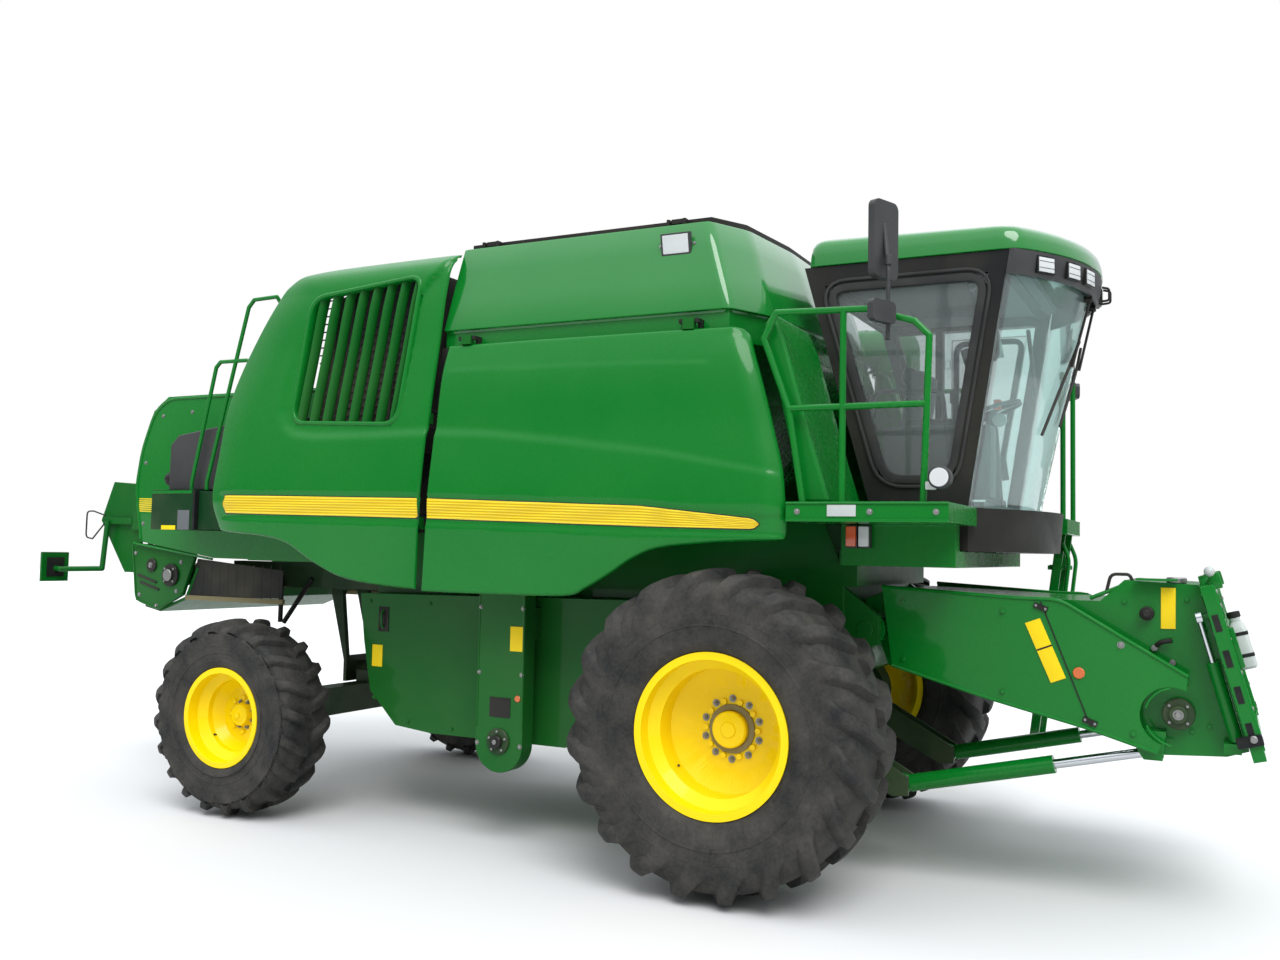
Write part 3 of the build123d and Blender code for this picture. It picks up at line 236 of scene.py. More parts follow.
def ribbed_yellow(name, color):
    """Yellow stripe film with fine horizontal ridges, darker in the ridges' valleys: painted shade."""
    mat, tree, shader = new_material(name)
    bands = wave(tree, 22.0, 0.0, "Z")
    # Darker band in each ridge's valley: painted shade.
    tone = ramp(tree, bands, 0.05, 0.45, shade(color, 0.72), color)
    gloss = spread(tree, noise(tree, 8.0), 0.25, 0.45)
    dress(tree, shader, tone, gloss, {"Coat Weight": 0.4}, bands, 0.35, 0.002)
    return mat


GREEN = paint("green_paint", srgb(3, 108, 32), 0.26, 0.7, 0.015)
# Lighter copy of the body green for the roof and tank tops: painted light. Its higher gloss is a surface
# setting.
GREEN_LIT_TOP = paint("green_paint_lit_top", srgb(6, 112, 36), 0.16, 2.3, 0.02)
# Darker copy of the body green for low, inner and recessed parts: painted shade, with duller gloss and a
# little dust as wear.
GREEN_LOW_SHADE = paint("green_worn_painted_shade", srgb(2, 88, 24), 0.36, 0.4, 0.05)
GREEN_DARK = paint("green_shaded", srgb(8, 52, 22), 0.5, 0.2, 0.22)
YELLOW = paint("yellow_rim_paint", srgb(240, 208, 2), 0.34, 0.35, 0.03)
STRIPE = ribbed_yellow("stripe_film", srgb(236, 206, 16))
# Darker yellow for the rows at each ridge's foot: painted shade in the valleys.
STRIPE_VALLEY_SHADE = paint("stripe_valley_painted_shade", srgb(196, 160, 8), 0.4, 0.3, 0.05)
LABEL = paint("label_yellow", srgb(238, 205, 20), 0.45, 0.2, 0.05)
TYRE = rubber("tyre_rubber", srgb(20, 21, 22), 0.24)
BLACK = paint("black_frame_paint", srgb(26, 27, 28), 0.4, 0.3, 0.08)
BLACK_PLASTIC = plastic("black_plastic", srgb(32, 33, 35), 0.5)
GREY_PLASTIC = plastic("grey_plastic", srgb(84, 88, 92), 0.55)
SEAL = plastic("rubber_seal", srgb(18, 18, 19), 0.7)
DARK_METAL = paint("dark_iron", srgb(38, 40, 40), 0.6, 0.0, 0.25)
STEEL = metal("bare_steel", srgb(150, 150, 148), 0.4)
CHROME = metal("chrome_rod", srgb(205, 208, 212), 0.12, 0.03)
GREY_HUB = paint("hub_ring_grey", srgb(128, 120, 88), 0.55, 0.1, 0.2)
GLASS = glass("tinted_glass", srgb(222, 246, 243), srgb(204, 212, 212))
LAMP_WHITE = lens("lamp_white", srgb(205, 208, 208))
LAMP_ORANGE = lens("lamp_orange", srgb(214, 84, 22))
REFLECTOR = lens("reflector_orange", srgb(206, 96, 24), 0.2, 260.0)
CANISTER = plastic("milky_plastic", srgb(172, 178, 175), 0.35)
MIRROR = metal("mirror_glass", srgb(215, 218, 222), 0.05, 0.0)
CLOTH = cloth("seat_cloth", srgb(72, 74, 78))

base_material = {
    "green": GREEN, "yellow": YELLOW, "tyre": TYRE, "black_metal": BLACK, "dark_green": GREEN_DARK,
    "black_plastic": BLACK_PLASTIC, "glass": GLASS, "steel": STEEL, "chrome": CHROME, "fabric": CLOTH,
}
for sub in frame["record"]["subparts"]:
    if sub["node"] in nodes:
        mesh = nodes[sub["node"]].data
        mesh.materials.clear()
        mesh.materials.append(base_material[sub["material_slot"]])
# Low and inner green nodes take the darker green: painted shade.
for name in ("grain_elevators", "threshing_body", "lamp_brackets", "chopper_housing", "tailboard"):
    nodes[name].data.materials[0] = GREEN_LOW_SHADE
for name in ("engine", "radiator", "feeder_chain", "chopper_rotor", "straw_walkers"):
    nodes[name].data.materials[0] = DARK_METAL


# Edge softening of the carried-over nodes

def clean_group():
    """Geometry nodes that weld a tessellated node and drop its imported normals."""
    tree = bpy.data.node_groups.new("weld_faces", "GeometryNodeTree")
    for way in ("INPUT", "OUTPUT"):
        tree.interface.new_socket("Geometry", in_out=way, socket_type="NodeSocketGeometry")
    start = tree.nodes.new("NodeGroupInput")
    end = tree.nodes.new("NodeGroupOutput")
    drop = tree.nodes.new("GeometryNodeRemoveAttribute")
    drop.inputs["Name"].default_value = "custom_normal"
    weld = tree.nodes.new("GeometryNodeMergeByDistance")
    weld.inputs["Distance"].default_value = 0.00005
    tree.links.new(start.outputs[0], drop.inputs["Geometry"])
    tree.links.new(drop.outputs["Geometry"], weld.inputs["Geometry"])
    tree.links.new(weld.outputs["Geometry"], end.inputs[0])
    return tree


WELD = clean_group()


def soften(name, width):
    """Rounds a CAD node's edges by a few millimetres, as pressed and welded sheet has."""
    o = nodes[name]
    for polygon in o.data.polygons:
        polygon.use_smooth = True
    weld = o.modifiers.new("weld", "NODES")
    weld.node_group = WELD
    flat = o.modifiers.new("flat", "DECIMATE")
    flat.decimate_type = "DISSOLVE"
    flat.angle_limit = math.radians(0.6)
    bevel = o.modifiers.new("edge", "BEVEL")
    bevel.width = width
    bevel.segments = 2
    bevel.limit_method = "ANGLE"
    bevel.angle_limit = math.radians(32.0)
    bevel.harden_normals = False
    bevel.use_clamp_overlap = True
    normal = o.modifiers.new("normal", "WEIGHTED_NORMAL")
    normal.keep_sharp = True
    normal.weight = 80


# Mesh helpers

def make(name, bm, body, material, angle=35.0, replaces=(), turn_out=True):
    """Turns a bmesh into a piece on a body, shaded smooth up to an angle."""
    bmesh.ops.remove_doubles(bm, verts=bm.verts, dist=0.00002)
    if turn_out:
        bmesh.ops.recalc_face_normals(bm, faces=bm.faces)
    limit = math.radians(angle)
    for face in bm.faces:
        face.smooth = True
    for edge in bm.edges:
        edge.smooth = len(edge.link_faces) == 2 and edge.calc_face_angle(0.0) < limit
    mesh = bpy.data.meshes.new(name)
    bm.to_mesh(mesh)
    bm.free()
    for m in material if isinstance(material, list) else [material]:
        mesh.materials.append(m)
    o = bpy.data.objects.new(name, mesh)
    bpy.context.scene.collection.objects.link(o)
    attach(o, body)
    if replaces:
        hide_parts(*replaces)
    return o


def ring(center, u, v, radius, count):
    """Circle of points round a centre, in the plane of u and v."""
    turns = [2 * math.pi * i / count for i in range(count)]
    return [center + u * (radius * math.cos(a)) + v * (radius * math.sin(a)) for a in turns]


def frame_of(direction):
    """Two unit vectors square to a direction."""
    d = direction.normalized()
    other = Vector((0, 0, 1)) if abs(d.z) < 0.9 else Vector((1, 0, 0))
    u = d.cross(other).normalized()
    return u, d.cross(u).normalized()


def new_face(bm, verts, index):
    """Adds a face, unless there is one on these points already."""
    try:
        bm.faces.new(verts).material_index = index
    except ValueError:
        pass


def loft(bm, loops, cap=True, index=0):
    """Skins a list of equal loops of points."""
    rows = [[bm.verts.new(p) for p in loop] for loop in loops]
    count = len(rows[0])
    for a, b in zip(rows, rows[1:]):
        for i in range(count):
            j = (i + 1) % count
            new_face(bm, (a[i], a[j], b[j], b[i]), index)
    if cap:
        new_face(bm, rows[0], index)
        new_face(bm, rows[-1], index)


def cylinder(bm, start, end, radius, count, edge, index=0):
    """Round bar with rolled end edges."""
    start, end = place(start), place(end)
    u, v = frame_of(end - start)
    roll = (end - start).normalized() * edge
    narrow = max(radius - edge, radius * 0.2)
    steps = ((start, narrow), (start + roll, radius), (end - roll, radius), (end, narrow))
    loft(bm, [ring(at, u, v, r, count) for at, r in steps], index=index)


def boss(bm, x, z, y0, y1, radius, count, edge, index=0):
    """Round bar square to the side walls."""
    cylinder(bm, (x, y0, z), (x, y1, z), radius, count, edge, index)


def rounded_path(points, radius, steps=6):
    """A polyline with its corners turned on arcs."""
    pts = [Vector(p) for p in points]
    out = [pts[0]]
    for a, b, c in zip(pts, pts[1:], pts[2:]):
        into = b - a
        away = c - b
        reach = min(radius, into.length * 0.45, away.length * 0.45)
        p0 = b - into.normalized() * reach
        p2 = b + away.normalized() * reach
        for i in range(steps + 1):
            t = i / steps
            out.append(p0 * (1 - t) ** 2 + b * (2 * t * (1 - t)) + p2 * t ** 2)
    out.append(pts[-1])
    return out


def tube(bm, points, radius, bend=0.05, count=14, index=0):
    """Bent round tube through points."""
    corners = rounded_path([place(p) for p in points], bend)
    path = [corners[0]]
    for p in corners[1:]:
        if (p - path[-1]).length > 1e-4:
            path.append(p)
    u, v = frame_of((path[1] - path[0]).normalized())
    loops = []
    for i, p in enumerate(path):
        if i == 0:
            t = (path[1] - path[0]).normalized()
        elif i == len(path) - 1:
            t = (path[-1] - path[-2]).normalized()
        else:
            t = ((path[i + 1] - p).normalized() + (p - path[i - 1]).normalized()).normalized()
        u = (u - t * u.dot(t)).normalized()
        v = t.cross(u).normalized()
        loops.append(ring(p, u, v, radius, count))
    loft(bm, loops, index=index)


def bar(bm, points, radius, count=14, index=0):
    """Straight round bar between two points."""
    tube(bm, points, radius, 0.0, count, index)


def side_tube(bm, y, points, radius, bend, count, index=0):
    """Bent tube along a side wall, through (station, z) points."""
    tube(bm, [(x, y, z) for x, z in points], radius, bend, count, index)


def side_bar(bm, y, points, radius, count, index=0):
    """Straight bar along a side wall, between two (station, z) points."""
    side_tube(bm, y, points, radius, 0.0, count, index)


def hexbolt(bm, at, direction, radius, height, index=0, washer=True):
    """Hexagon bolt head on a washer, standing on its point along a direction."""
    base = place(at)
    d = Vector(direction).normalized()
    u, v = frame_of(d)
    if washer:
        rim = base + d * height * 0.25
        loft(bm, [ring(p, u, v, radius * 1.45, 20) for p in (base, rim)], index=index)
        base = rim
    top = base + d * height
    steps = ((base, radius), (top - d * height * 0.2, radius), (top, radius * 0.82))
    loft(bm, [ring(p, u, v, r, 6) for p, r in steps], index=index)


def side_bolts(bm, y, points, radius, height, index=0, washer=True):
    """Bolt heads on a side wall at (station, z) points."""
    for x, z in points:
        hexbolt(bm, (x, y, z), (0, math.copysign(1.0, y), 0), radius, height, index, washer)


def bolt_circle(bm, y, x, z, reach, count, first, radius, height, index):
    """Bolt heads without washers, in a circle on a side wall."""
    turns = [first + 2 * math.pi * k / count for k in range(count)]
    points = [(x + reach * math.cos(a), z + reach * math.sin(a)) for a in turns]
    side_bolts(bm, y, points, radius, height, index, False)


def box(bm, center, size, edge, index=0, turn=None):
    """Box with rounded edges; size along x, y, z before the turn."""
    part = bmesh.new()
    bmesh.ops.create_cube(part, size=1.0)
    for vert in part.verts:
        vert.co = Vector((vert.co.x * size[0], vert.co.y * size[1], vert.co.z * size[2]))
    round_edges(part, list(part.edges), min(edge, min(size) * 0.45))
    matrix = Matrix.Translation(place(center))
    if turn is not None:
        matrix = matrix @ turn.to_4x4()
    merge(bm, part, matrix, index)


def round_edges(part, edges, width):
    """Rolls edges over by a width."""
    bmesh.ops.bevel(part, geom=edges, offset=width, segments=2, profile=0.7, affect="EDGES")


def rectangle(a, b, x=0.0):
    """Corners of a rectangle 2a wide and 2b high round (x, 0)."""
    return [(x - a, -b), (x + a, -b), (x + a, b), (x - a, b)]


def merge(bm, part, matrix, index):
    """Adds one bmesh to another."""
    table = {vert: bm.verts.new(matrix @ vert.co) for vert in part.verts}
    for face in part.faces:
        new_face(bm, [table[vert] for vert in face.verts], index)
    part.free()


def ball(bm, center, radius, around, up_count, index):
    """Sphere round a point."""
    part = bmesh.new()
    bmesh.ops.create_uvsphere(part, u_segments=around, v_segments=up_count, radius=radius)
    merge(bm, part, Matrix.Translation(place(center)), index)


def plate(bm, outline, origin, u, v, thickness, edge, index=0):
    """Flat plate from a 2D outline on the u and v directions, grown along u x v."""
    origin = Vector(origin)
    u = Vector(u).normalized()
    v = Vector(v).normalized()
    n = u.cross(v)
    area = sum(a * d - b * c for (a, b), (c, d) in zip(outline, outline[1:] + outline[:1]))
    pts = outline if area > 0 else list(reversed(outline))
    part = bmesh.new()
    face = part.faces.new([part.verts.new(origin + u * a + v * b) for a, b in pts])
    made = bmesh.ops.extrude_face_region(part, geom=[face])
    tops = [g for g in made["geom"] if isinstance(g, bmesh.types.BMVert)]
    bmesh.ops.translate(part, verts=tops, vec=n * thickness)
    round_edges(part, [e for e in part.edges if e.calc_face_angle(0.0) > 0.5], edge)
    merge(bm, part, Matrix.Identity(4), index)


def side_plate(bm, y, outline, thickness, edge, index=0):
    """Flat plate along a side wall, from a (station, z) outline."""
    plate(bm, outline, (st(0), y, 0), (1, 0, 0), (0, 0, 1), thickness, edge, index)


def lathe(bm, profile, hub, side, count=96, index=0):
    """Turns (radius, outboard) points about the wheel axis through hub."""
    hub_x = st(hub[0])
    turns = [2 * math.pi * i / count for i in range(count)]
    loops = []
    for radius, out in profile:
        y = hub[1] + side * out
        loops.append(
            [Vector((hub_x + radius * math.cos(a), y, hub[2] + radius * math.sin(a))) for a in turns]
        )
    loft(bm, loops, cap=False, index=index)


def between(a, b, share):
    """Point part of the way from a to b."""
    return tuple(p + share * (q - p) for p, q in zip(a, b))


def curve_points(points, count):
    """Smooth line (Catmull-Rom) through 2D points, sampled evenly by index."""
    out = []
    pts = [points[0]] + list(points) + [points[-1]]
    spans = len(points) - 1
    for i in range(count + 1):
        t = i / count * spans
        k = min(int(t), spans - 1)
        f = t - k
        value = []
        for p0, p1, p2, p3 in zip(pts[k], pts[k + 1], pts[k + 2], pts[k + 3]):
            square = 2 * p0 - 5 * p1 + 4 * p2 - p3
            cube = 3 * p1 - p0 - 3 * p2 + p3
            value.append(0.5 * (2 * p1 + (p2 - p0) * f + square * f * f + cube * f ** 3))
        out.append(tuple(value))
    return out


def line_at(points, x):
    """Piecewise straight line through (x, y) points sorted by x."""
    if x <= points[0][0]:
        return points[0][1]
    for (a, b), (c, d) in zip(points, points[1:]):
        if x <= c:
            return b + (d - b) * (x - a) / (c - a)
    return points[-1][1]


def smooth_at(points, x):
    """Smooth monotone line through (x, y) points sorted by x."""
    if x <= points[0][0]:
        return points[0][1]
    if x >= points[-1][0]:
        return points[-1][1]
    slopes = [(d - b) / (c - a) for (a, b), (c, d) in zip(points, points[1:])]
    i = 0
    while x > points[i + 1][0]:
        i += 1

    def bend(k):
        """Slope at a point between two spans, level where they turn."""
        if k == 0 or k == len(slopes):
            return slopes[i]
        return 0.0 if slopes[k - 1] * slopes[k] <= 0 else 0.5 * (slopes[k - 1] + slopes[k])

    (a, b), (c, d) = points[i], points[i + 1]
    h = c - a
    t = (x - a) / h
    return (
        b * (2 * t ** 3 - 3 * t ** 2 + 1) + h * bend(i) * (t ** 3 - 2 * t ** 2 + t)
        + d * (-2 * t ** 3 + 3 * t ** 2) + h * bend(i + 1) * (t ** 3 - t ** 2)
    )


def step(x, low, high):
    """Smooth rise from 0 to 1 between low and high."""
    t = max(0.0, min(1.0, (x - low) / (high - low)))
    return t * t * (3 - 2 * t)


# Camera, as solved from the photo
YAW = math.radians(26.979)
PITCH = math.radians(3.497)
ROLL = math.radians(1.176)
EYE = (2.404, -7.233, 1.816)
forward = Vector((-math.sin(YAW) * math.cos(PITCH), math.cos(YAW) * math.cos(PITCH), math.sin(PITCH)))
level = Vector((math.cos(YAW), math.sin(YAW), 0.0))
upright = level.cross(forward)
right = level * math.cos(ROLL) + upright * math.sin(ROLL)
up = level * -math.sin(ROLL) + upright * math.cos(ROLL)
camera_data = bpy.data.cameras.new("camera")
camera_data.lens = 32.66
camera_data.sensor_width = 36.0
camera_data.sensor_fit = "HORIZONTAL"
camera_data.clip_end = 200.0
camera = bpy.data.objects.new("camera", camera_data)
turn = Matrix((right, up, -forward)).transposed()
camera.matrix_world = Matrix.Translation(place(EYE)) @ turn.to_4x4()
bpy.context.scene.collection.objects.link(camera)
bpy.context.scene.camera = camera

# Pale floor just under the wheels
floor_bm = bmesh.new()
bmesh.ops.create_grid(floor_bm, x_segments=2, y_segments=2, size=60.0)
floor_mesh = bpy.data.meshes.new("floor")
floor_bm.to_mesh(floor_mesh)
floor_bm.free()
floor_mat, _, floor_shader = new_material("floor_pale")
floor_shader.inputs["Base Color"].default_value = (0.62, 0.62, 0.62, 1.0)
floor_shader.inputs["Roughness"].default_value = 0.8
floor_mesh.materials.append(floor_mat)
floor = bpy.data.objects.new("floor", floor_mesh)
floor.location = (0.0, 0.0, -0.001)
bpy.context.scene.collection.objects.link(floor)

# World: a bright sky that darkens near the horizon, seen as plain white
world = bpy.data.worlds.new("world")
bpy.context.scene.world = world
world.use_nodes = True
tree = world.node_tree
tree.nodes.clear()
way = add(tree, "SeparateXYZ", feeds={0: add(tree, "TexCoord").outputs["Generated"]})
fall = ramp(tree, way.outputs["Z"], 0.02, 0.75, (0.20, 0.22, 0.20, 1.0), (1.75, 1.82, 1.90, 1.0))
light = add(tree, "Background", {"Strength": 1.0}, {"Color": fall})
seen = add(tree, "Background", {"Color": (1.0, 1.0, 1.0, 1.0), "Strength": 1.0})
rays = add(tree, "LightPath").outputs
direct = add(
    tree, "Math", feeds={0: rays["Is Camera Ray"], 1: rays["Is Transmission Ray"]}, operation="MAXIMUM",
)
mixed = add(tree, "MixShader", feeds={0: direct.outputs[0], 1: light.outputs[0], 2: seen.outputs[0]})
add(tree, "OutputWorld", feeds={"Surface": mixed.outputs[0]})

sun_data = bpy.data.lights.new("soft_sun", "SUN")
sun_data.energy = 2.2
sun_data.angle = math.radians(35)
sun = bpy.data.objects.new("soft_sun", sun_data)
sun.rotation_euler = (math.radians(38), math.radians(14), math.radians(20))
bpy.context.scene.collection.objects.link(sun)
bpy.context.scene.view_settings.view_transform = "Standard"


# Tyres: a carcass turned on the wheel axis with chevron lugs

def tyre_profile(radius, width, lug, seat, flange, rim_width):
    """Half outline from the crown to the bead as (outboard, radius)."""
    half = width / 2
    bead = rim_width / 2
    crown = radius - lug
    mid = (seat + radius) / 2
    return curve_points(
        [
            (0.0, crown), (half * 0.42, crown - 0.006), (half * 0.78, crown - 0.026),
            (half * 0.94, crown - 0.075), (half * 0.99, mid + 0.07), (half * 1.0, mid - 0.01),
            (half * 0.95, mid - 0.09), (bead + 0.030, flange + 0.05), (bead + 0.006, flange + 0.014),
            (bead - 0.018, flange - 0.006), (bead - 0.024, seat + 0.001),
        ],
        60,
    )


def lug_loops(half_profile, hub, hand, start_angle, radius, width, lug, lug_base, lug_top):
    """Sections of one lug, from the crown's middle down to the shoulder."""
    count = len(half_profile) - 1
    last = int(count * 0.50)
    sweep = 0.30 * width / 0.65 / (radius / 0.87)
    stations = 15
    loops = []
    for i in range(stations + 1):
        t = i / stations
        j = int(t * last)
        f = t * last - j
        a = half_profile[j]
        b = half_profile[min(j + 1, count)]
        out, rad = between(a, b, f)
        if i == 0:
            out = 0.008
        dx = b[0] - a[0]
        dr = b[1] - a[1]
        norm = math.hypot(dx, dr)
        nx, nr = -dr / norm, dx / norm
        height = lug * (1.0 - 0.92 * step(t, 0.62, 1.0)) * (0.82 + 0.18 * step(t, 0.0, 0.12))
        wide = (lug_base + (lug_base * 0.35) * t) * (1.0 + 0.15 * step(t, 0.7, 1.0))
        narrow = (lug_top + lug_top * 0.45 * t) * (1.0 - 0.35 * step(t, 0.75, 1.0))
        middle = start_angle + sweep * (t ** 0.85) * min(1.0, out / (width * 0.5) + 0.25)
        flank = narrow + 0.25 * (wide - narrow)
        loop = []
        for across, rise in (
            (-wide, -0.06), (-flank, 0.72), (-narrow, 0.95), (-narrow * 0.55, 1.0),
            (narrow * 0.55, 1.0), (narrow, 0.95), (flank, 0.72), (wide, -0.06),
        ):
            r = min(radius, rad + nr * height * rise)
            angle = middle + across / 2 / r
            y = hub[1] + hand * (out + nx * height * rise)
            loop.append(Vector((st(hub[0]) + r * math.cos(angle), y, hub[2] + r * math.sin(angle))))
        loops.append(loop)
    return loops


def build_tyre(name, node, hub, radius, width, seat, flange, rim_width, lugs, lug, lug_base, lug_top):
    """Carcass, lugs and moulded sidewall rings of one tyre."""
    half_profile = tyre_profile(radius, width, lug, seat, flange, rim_width)
    bm = bmesh.new()
    lathe(
        bm, [(r, -o) for o, r in reversed(half_profile)] + [(r, o) for o, r in half_profile[1:]], hub, 1.0,
        144,
    )
    pitch = 2 * math.pi / lugs
    for hand in (-1, 1):
        for k in range(lugs):
            start_angle = pitch * (k + (0.5 if hand > 0 else 0.0))
            loft(bm, lug_loops(half_profile, hub, hand, start_angle, radius, width, lug, lug_base, lug_top))
    for hand in (-1, 1):
        for share in (0.735, 0.66):
            r = radius * share
            o = 0.0
            for a, b in zip(half_profile, half_profile[1:]):
                if a[1] >= r >= b[1] and a[0] > width * 0.3:
                    o = a[0]
            bead = [
                (r + 0.007, o - 0.004), (r + 0.004, o + 0.003), (r - 0.004, o + 0.003),
                (r - 0.007, o - 0.004),
            ]
            lathe(bm, bead, hub, hand, 144)

    # Outer ends of the lugs are drawn in, to stay within the tyre's width
    half = width / 2
    calm = half * 0.86
    reach = max(abs(v.co.y - hub[1]) for v in bm.verts)
    share = (half - 0.001 - calm) / max(reach - calm, 1e-6)
    for vert in bm.verts:
        out = vert.co.y - hub[1]
        if abs(out) > calm:
            vert.co.y = hub[1] + math.copysign(calm + (abs(out) - calm) * min(1.0, share), out)
    make(name, bm, body_of_node[node], TYRE, 50.0, (node,))


def hub_at(hub, side):
    """Wheel centre on one side of the machine."""
    return (hub[0], side * hub[1], hub[2])


FRONT_HUB = (0.0, 1.42, 0.87)
REAR_HUB = (-3.58, 1.36, 0.655)
FRONT_TYRE = dict(
    radius=0.868, width=0.65, seat=0.406, flange=0.432, rim_width=0.508, lugs=20, lug=0.050, lug_base=0.105,
    lug_top=0.062,
)
REAR_TYRE = dict(
    radius=0.653, width=0.43, seat=0.305, flange=0.330, rim_width=0.381, lugs=20, lug=0.038, lug_base=0.080,
    lug_top=0.044,
)
for side, word in SIDES:
    for end, hub, sizes in (("front", FRONT_HUB, FRONT_TYRE), ("rear", REAR_HUB, REAR_TYRE)):
        build_tyre("tyre_" + end + "_" + word, end + "_tyre_" + word, hub_at(hub, side), **sizes)

# Side panels: pressed skins in place of the panels' own faces

GROOVE_FOOT = (-1.978, 1.811)
GROOVE_SLOPE = 0.110 / 1.493
GROOVE_HALF = 0.030
FRONT_SECTION = [(1.54, 1.545), (1.99, 1.568), (2.09, 1.575), (2.48, 1.560), (2.87, 1.545), (3.05, 1.500)]
REAR_SECTION = [
    (1.54, 1.530), (1.99, 1.568), (2.09, 1.575), (2.60, 1.562), (3.05, 1.530), (3.44, 1.500),
    (3.575, 1.465),
    (3.65, 1.385),
]
STRIPE_TOP = [(-3.640, 2.132), (-1.954, 2.107), (-0.476, 2.062), (0.198, 1.994)]
STRIPE_LOW = [(-3.640, 2.014), (-1.949, 1.988), (-0.473, 1.952), (0.204, 1.942)]
FRONT_CREASE = [(-1.96, 2.515), (-1.50, 2.492), (-0.995, 2.437), (-0.360, 2.356), (0.36, 2.222)]
REAR_CREASE = [
    (-1.90, 2.515), (-2.40, 2.508), (-2.85, 2.512), (-3.02, 2.532), (-3.10, 2.585), (-3.135, 2.67),
    (-3.115, 2.82),
    (-3.06, 3.02), (-3.00, 3.22), (-2.95, 3.38),
]
UPPER_CREASE = [(-1.846, 2.891), (-0.514, 2.863), (-0.073, 2.842)]
LOUVRE = [(-2.941, 3.428), (-2.063, 3.505), (-2.190, 2.569), (-3.056, 2.605)]
SKIN = 0.016


def groove_x(z):
    """Station of the groove between the panels at a height."""
    return GROOVE_FOOT[0] + (z - GROOVE_FOOT[1]) * GROOVE_SLOPE


def spaced(points, shares):
    """Points at given shares of a line's length."""
    lengths = [0.0]
    for a, b in zip(points, points[1:]):
        lengths.append(lengths[-1] + math.hypot(b[0] - a[0], b[1] - a[1]))
    out = []
    for share in shares:
        goal = share * lengths[-1]
        k = 0
        while k < len(points) - 2 and lengths[k + 1] < goal:
            k += 1
        f = (goal - lengths[k]) / max(lengths[k + 1] - lengths[k], 1e-9)
        out.append(between(points[k], points[k + 1], f))
    return out


def length_of(points):
    """Length of a line through points."""
    return sum(math.hypot(b[0] - a[0], b[1] - a[1]) for a, b in zip(points, points[1:]))


def shares_with_edges(length, pitch):
    """Shares along a side: close together near both ends, even between."""
    tight = (0.0, 0.004, 0.010, 0.017, 0.026, 0.04)
    start = [t / length for t in tight]
    count = max(2, int((length - 2 * tight[-1]) / pitch))
    middle = [(tight[-1] + (length - 2 * tight[-1]) * k / count) / length for k in range(1, count)]
    return start + middle + [1.0 - s for s in reversed(start)]


def nearest(points, x, z):
    """Distance from (x, z) to a line, signed by side, and the share along it."""
    best = (1e9, 1.0, 0.0)
    done = 0.0
    total = length_of(points)
    for (ax, az), (bx, bz) in zip(points, points[1:]):
        dx, dz = bx - ax, bz - az
        span = dx * dx + dz * dz
        t = max(0.0, min(1.0, ((x - ax) * dx + (z - az) * dz) / span))
        px, pz = ax + dx * t, az + dz * t
        gap = math.hypot(x - px, z - pz)
        if gap < best[0]:
            sign = 1.0 if dx * (z - az) - dz * (x - ax) > 0 else -1.0
            best = (gap, sign, (done + math.sqrt(span) * t) / total)
        done += math.sqrt(span)
    return best[0] * best[1], best[2]


def rolled(gap, radius):
    """How far a rolled edge falls back at a distance from its outline."""
    if gap >= radius:
        return 0.0
    return radius - math.sqrt(max(0.0, radius * radius - (radius - gap) ** 2))


def stripe_recess(x, z):
    """How far the skin is set in under the stripe."""
    top = line_at(STRIPE_TOP, x) + 0.014
    low = line_at(STRIPE_LOW, x) - 0.030
    return 0.007 * step(z, low - 0.012, low + 0.004) * (1.0 - step(z, top - 0.006, top + 0.010))


def front_depth(x, z, edges):
    """Outboard place of the front panel's skin."""
    y = smooth_at(FRONT_SECTION, z)
    left, right_side, top, bottom = edges
    gap, share = nearest(FRONT_CREASE, x, z)
    fade = 1.0 - 0.65 * share
    y -= 0.016 * fade * step(gap, -0.034 * fade, 0.034 * fade)
    gap, share = nearest(UPPER_CREASE, x, z)
    y -= (
        0.004 * step(gap, -0.008, 0.008) * step(share, 0.0, 0.02) * (1 - step(share, 0.97, 1.0))
        * step(0.16 - abs(gap), 0.0, 0.12)
    )
    y -= stripe_recess(x, z)
    front_gap = abs(nearest(right_side, x, z)[0])
    y -= 0.052 * max(0.0, 1.0 - front_gap / 0.085) ** 1.4
    gap = min(abs(nearest(side, x, z)[0]) for side in (left, right_side, top, bottom))
    return y - rolled(gap, 0.016)


def rear_depth(x, z, edges):
    """Outboard place of the rear panel's skin."""
    y = smooth_at(REAR_SECTION, z)
    left, right_side, top, bottom = edges
    gap, share = nearest(REAR_CREASE, x, z)
    fade = 1.0 - step(share, 0.62, 1.0)
    y -= 0.018 * fade * step(-gap, -0.032, 0.032)
    y -= stripe_recess(x, z) * step(x, -3.70, -3.62)
    y -= 0.010 * max(0.0, 1.0 - abs(nearest(right_side, x, z)[0]) / 0.05)
    crown = min(abs(nearest(left, x, z)[0]), abs(nearest(top, x, z)[0]) + 0.12)
    y -= 0.050 * max(0.0, 1.0 - crown / 0.30) ** 2
    gap = min(abs(nearest(side, x, z)[0]) for side in (left, right_side, top, bottom))
    return y - rolled(gap, 0.016)


def patch(edges, across, up):
    """Grid of (x, z) points inside four edges: left, right, top, bottom."""
    left, right_side, top, bottom = edges
    us = shares_with_edges(length_of(bottom), across)
    vs = shares_with_edges(length_of(left), up)
    low = spaced(bottom, us)
    high = spaced(top, us)
    start = spaced(left, vs)
    end = spaced(right_side, vs)
    rows = []
    for j, v in enumerate(vs):
        row = []
        for i, u in enumerate(us):
            point = []
            for c in range(2):
                value = (1 - v) * low[i][c] + v * high[i][c] + (1 - u) * start[j][c] + u * end[j][c]
                value -= (
                    (1 - u) * (1 - v) * low[0][c] + u * (1 - v) * low[-1][c] + (1 - u) * v * high[0][c]
                    + u * v * high[-1][c]
                )
                point.append(value)
            row.append(tuple(point))
        rows.append(row)
    return rows


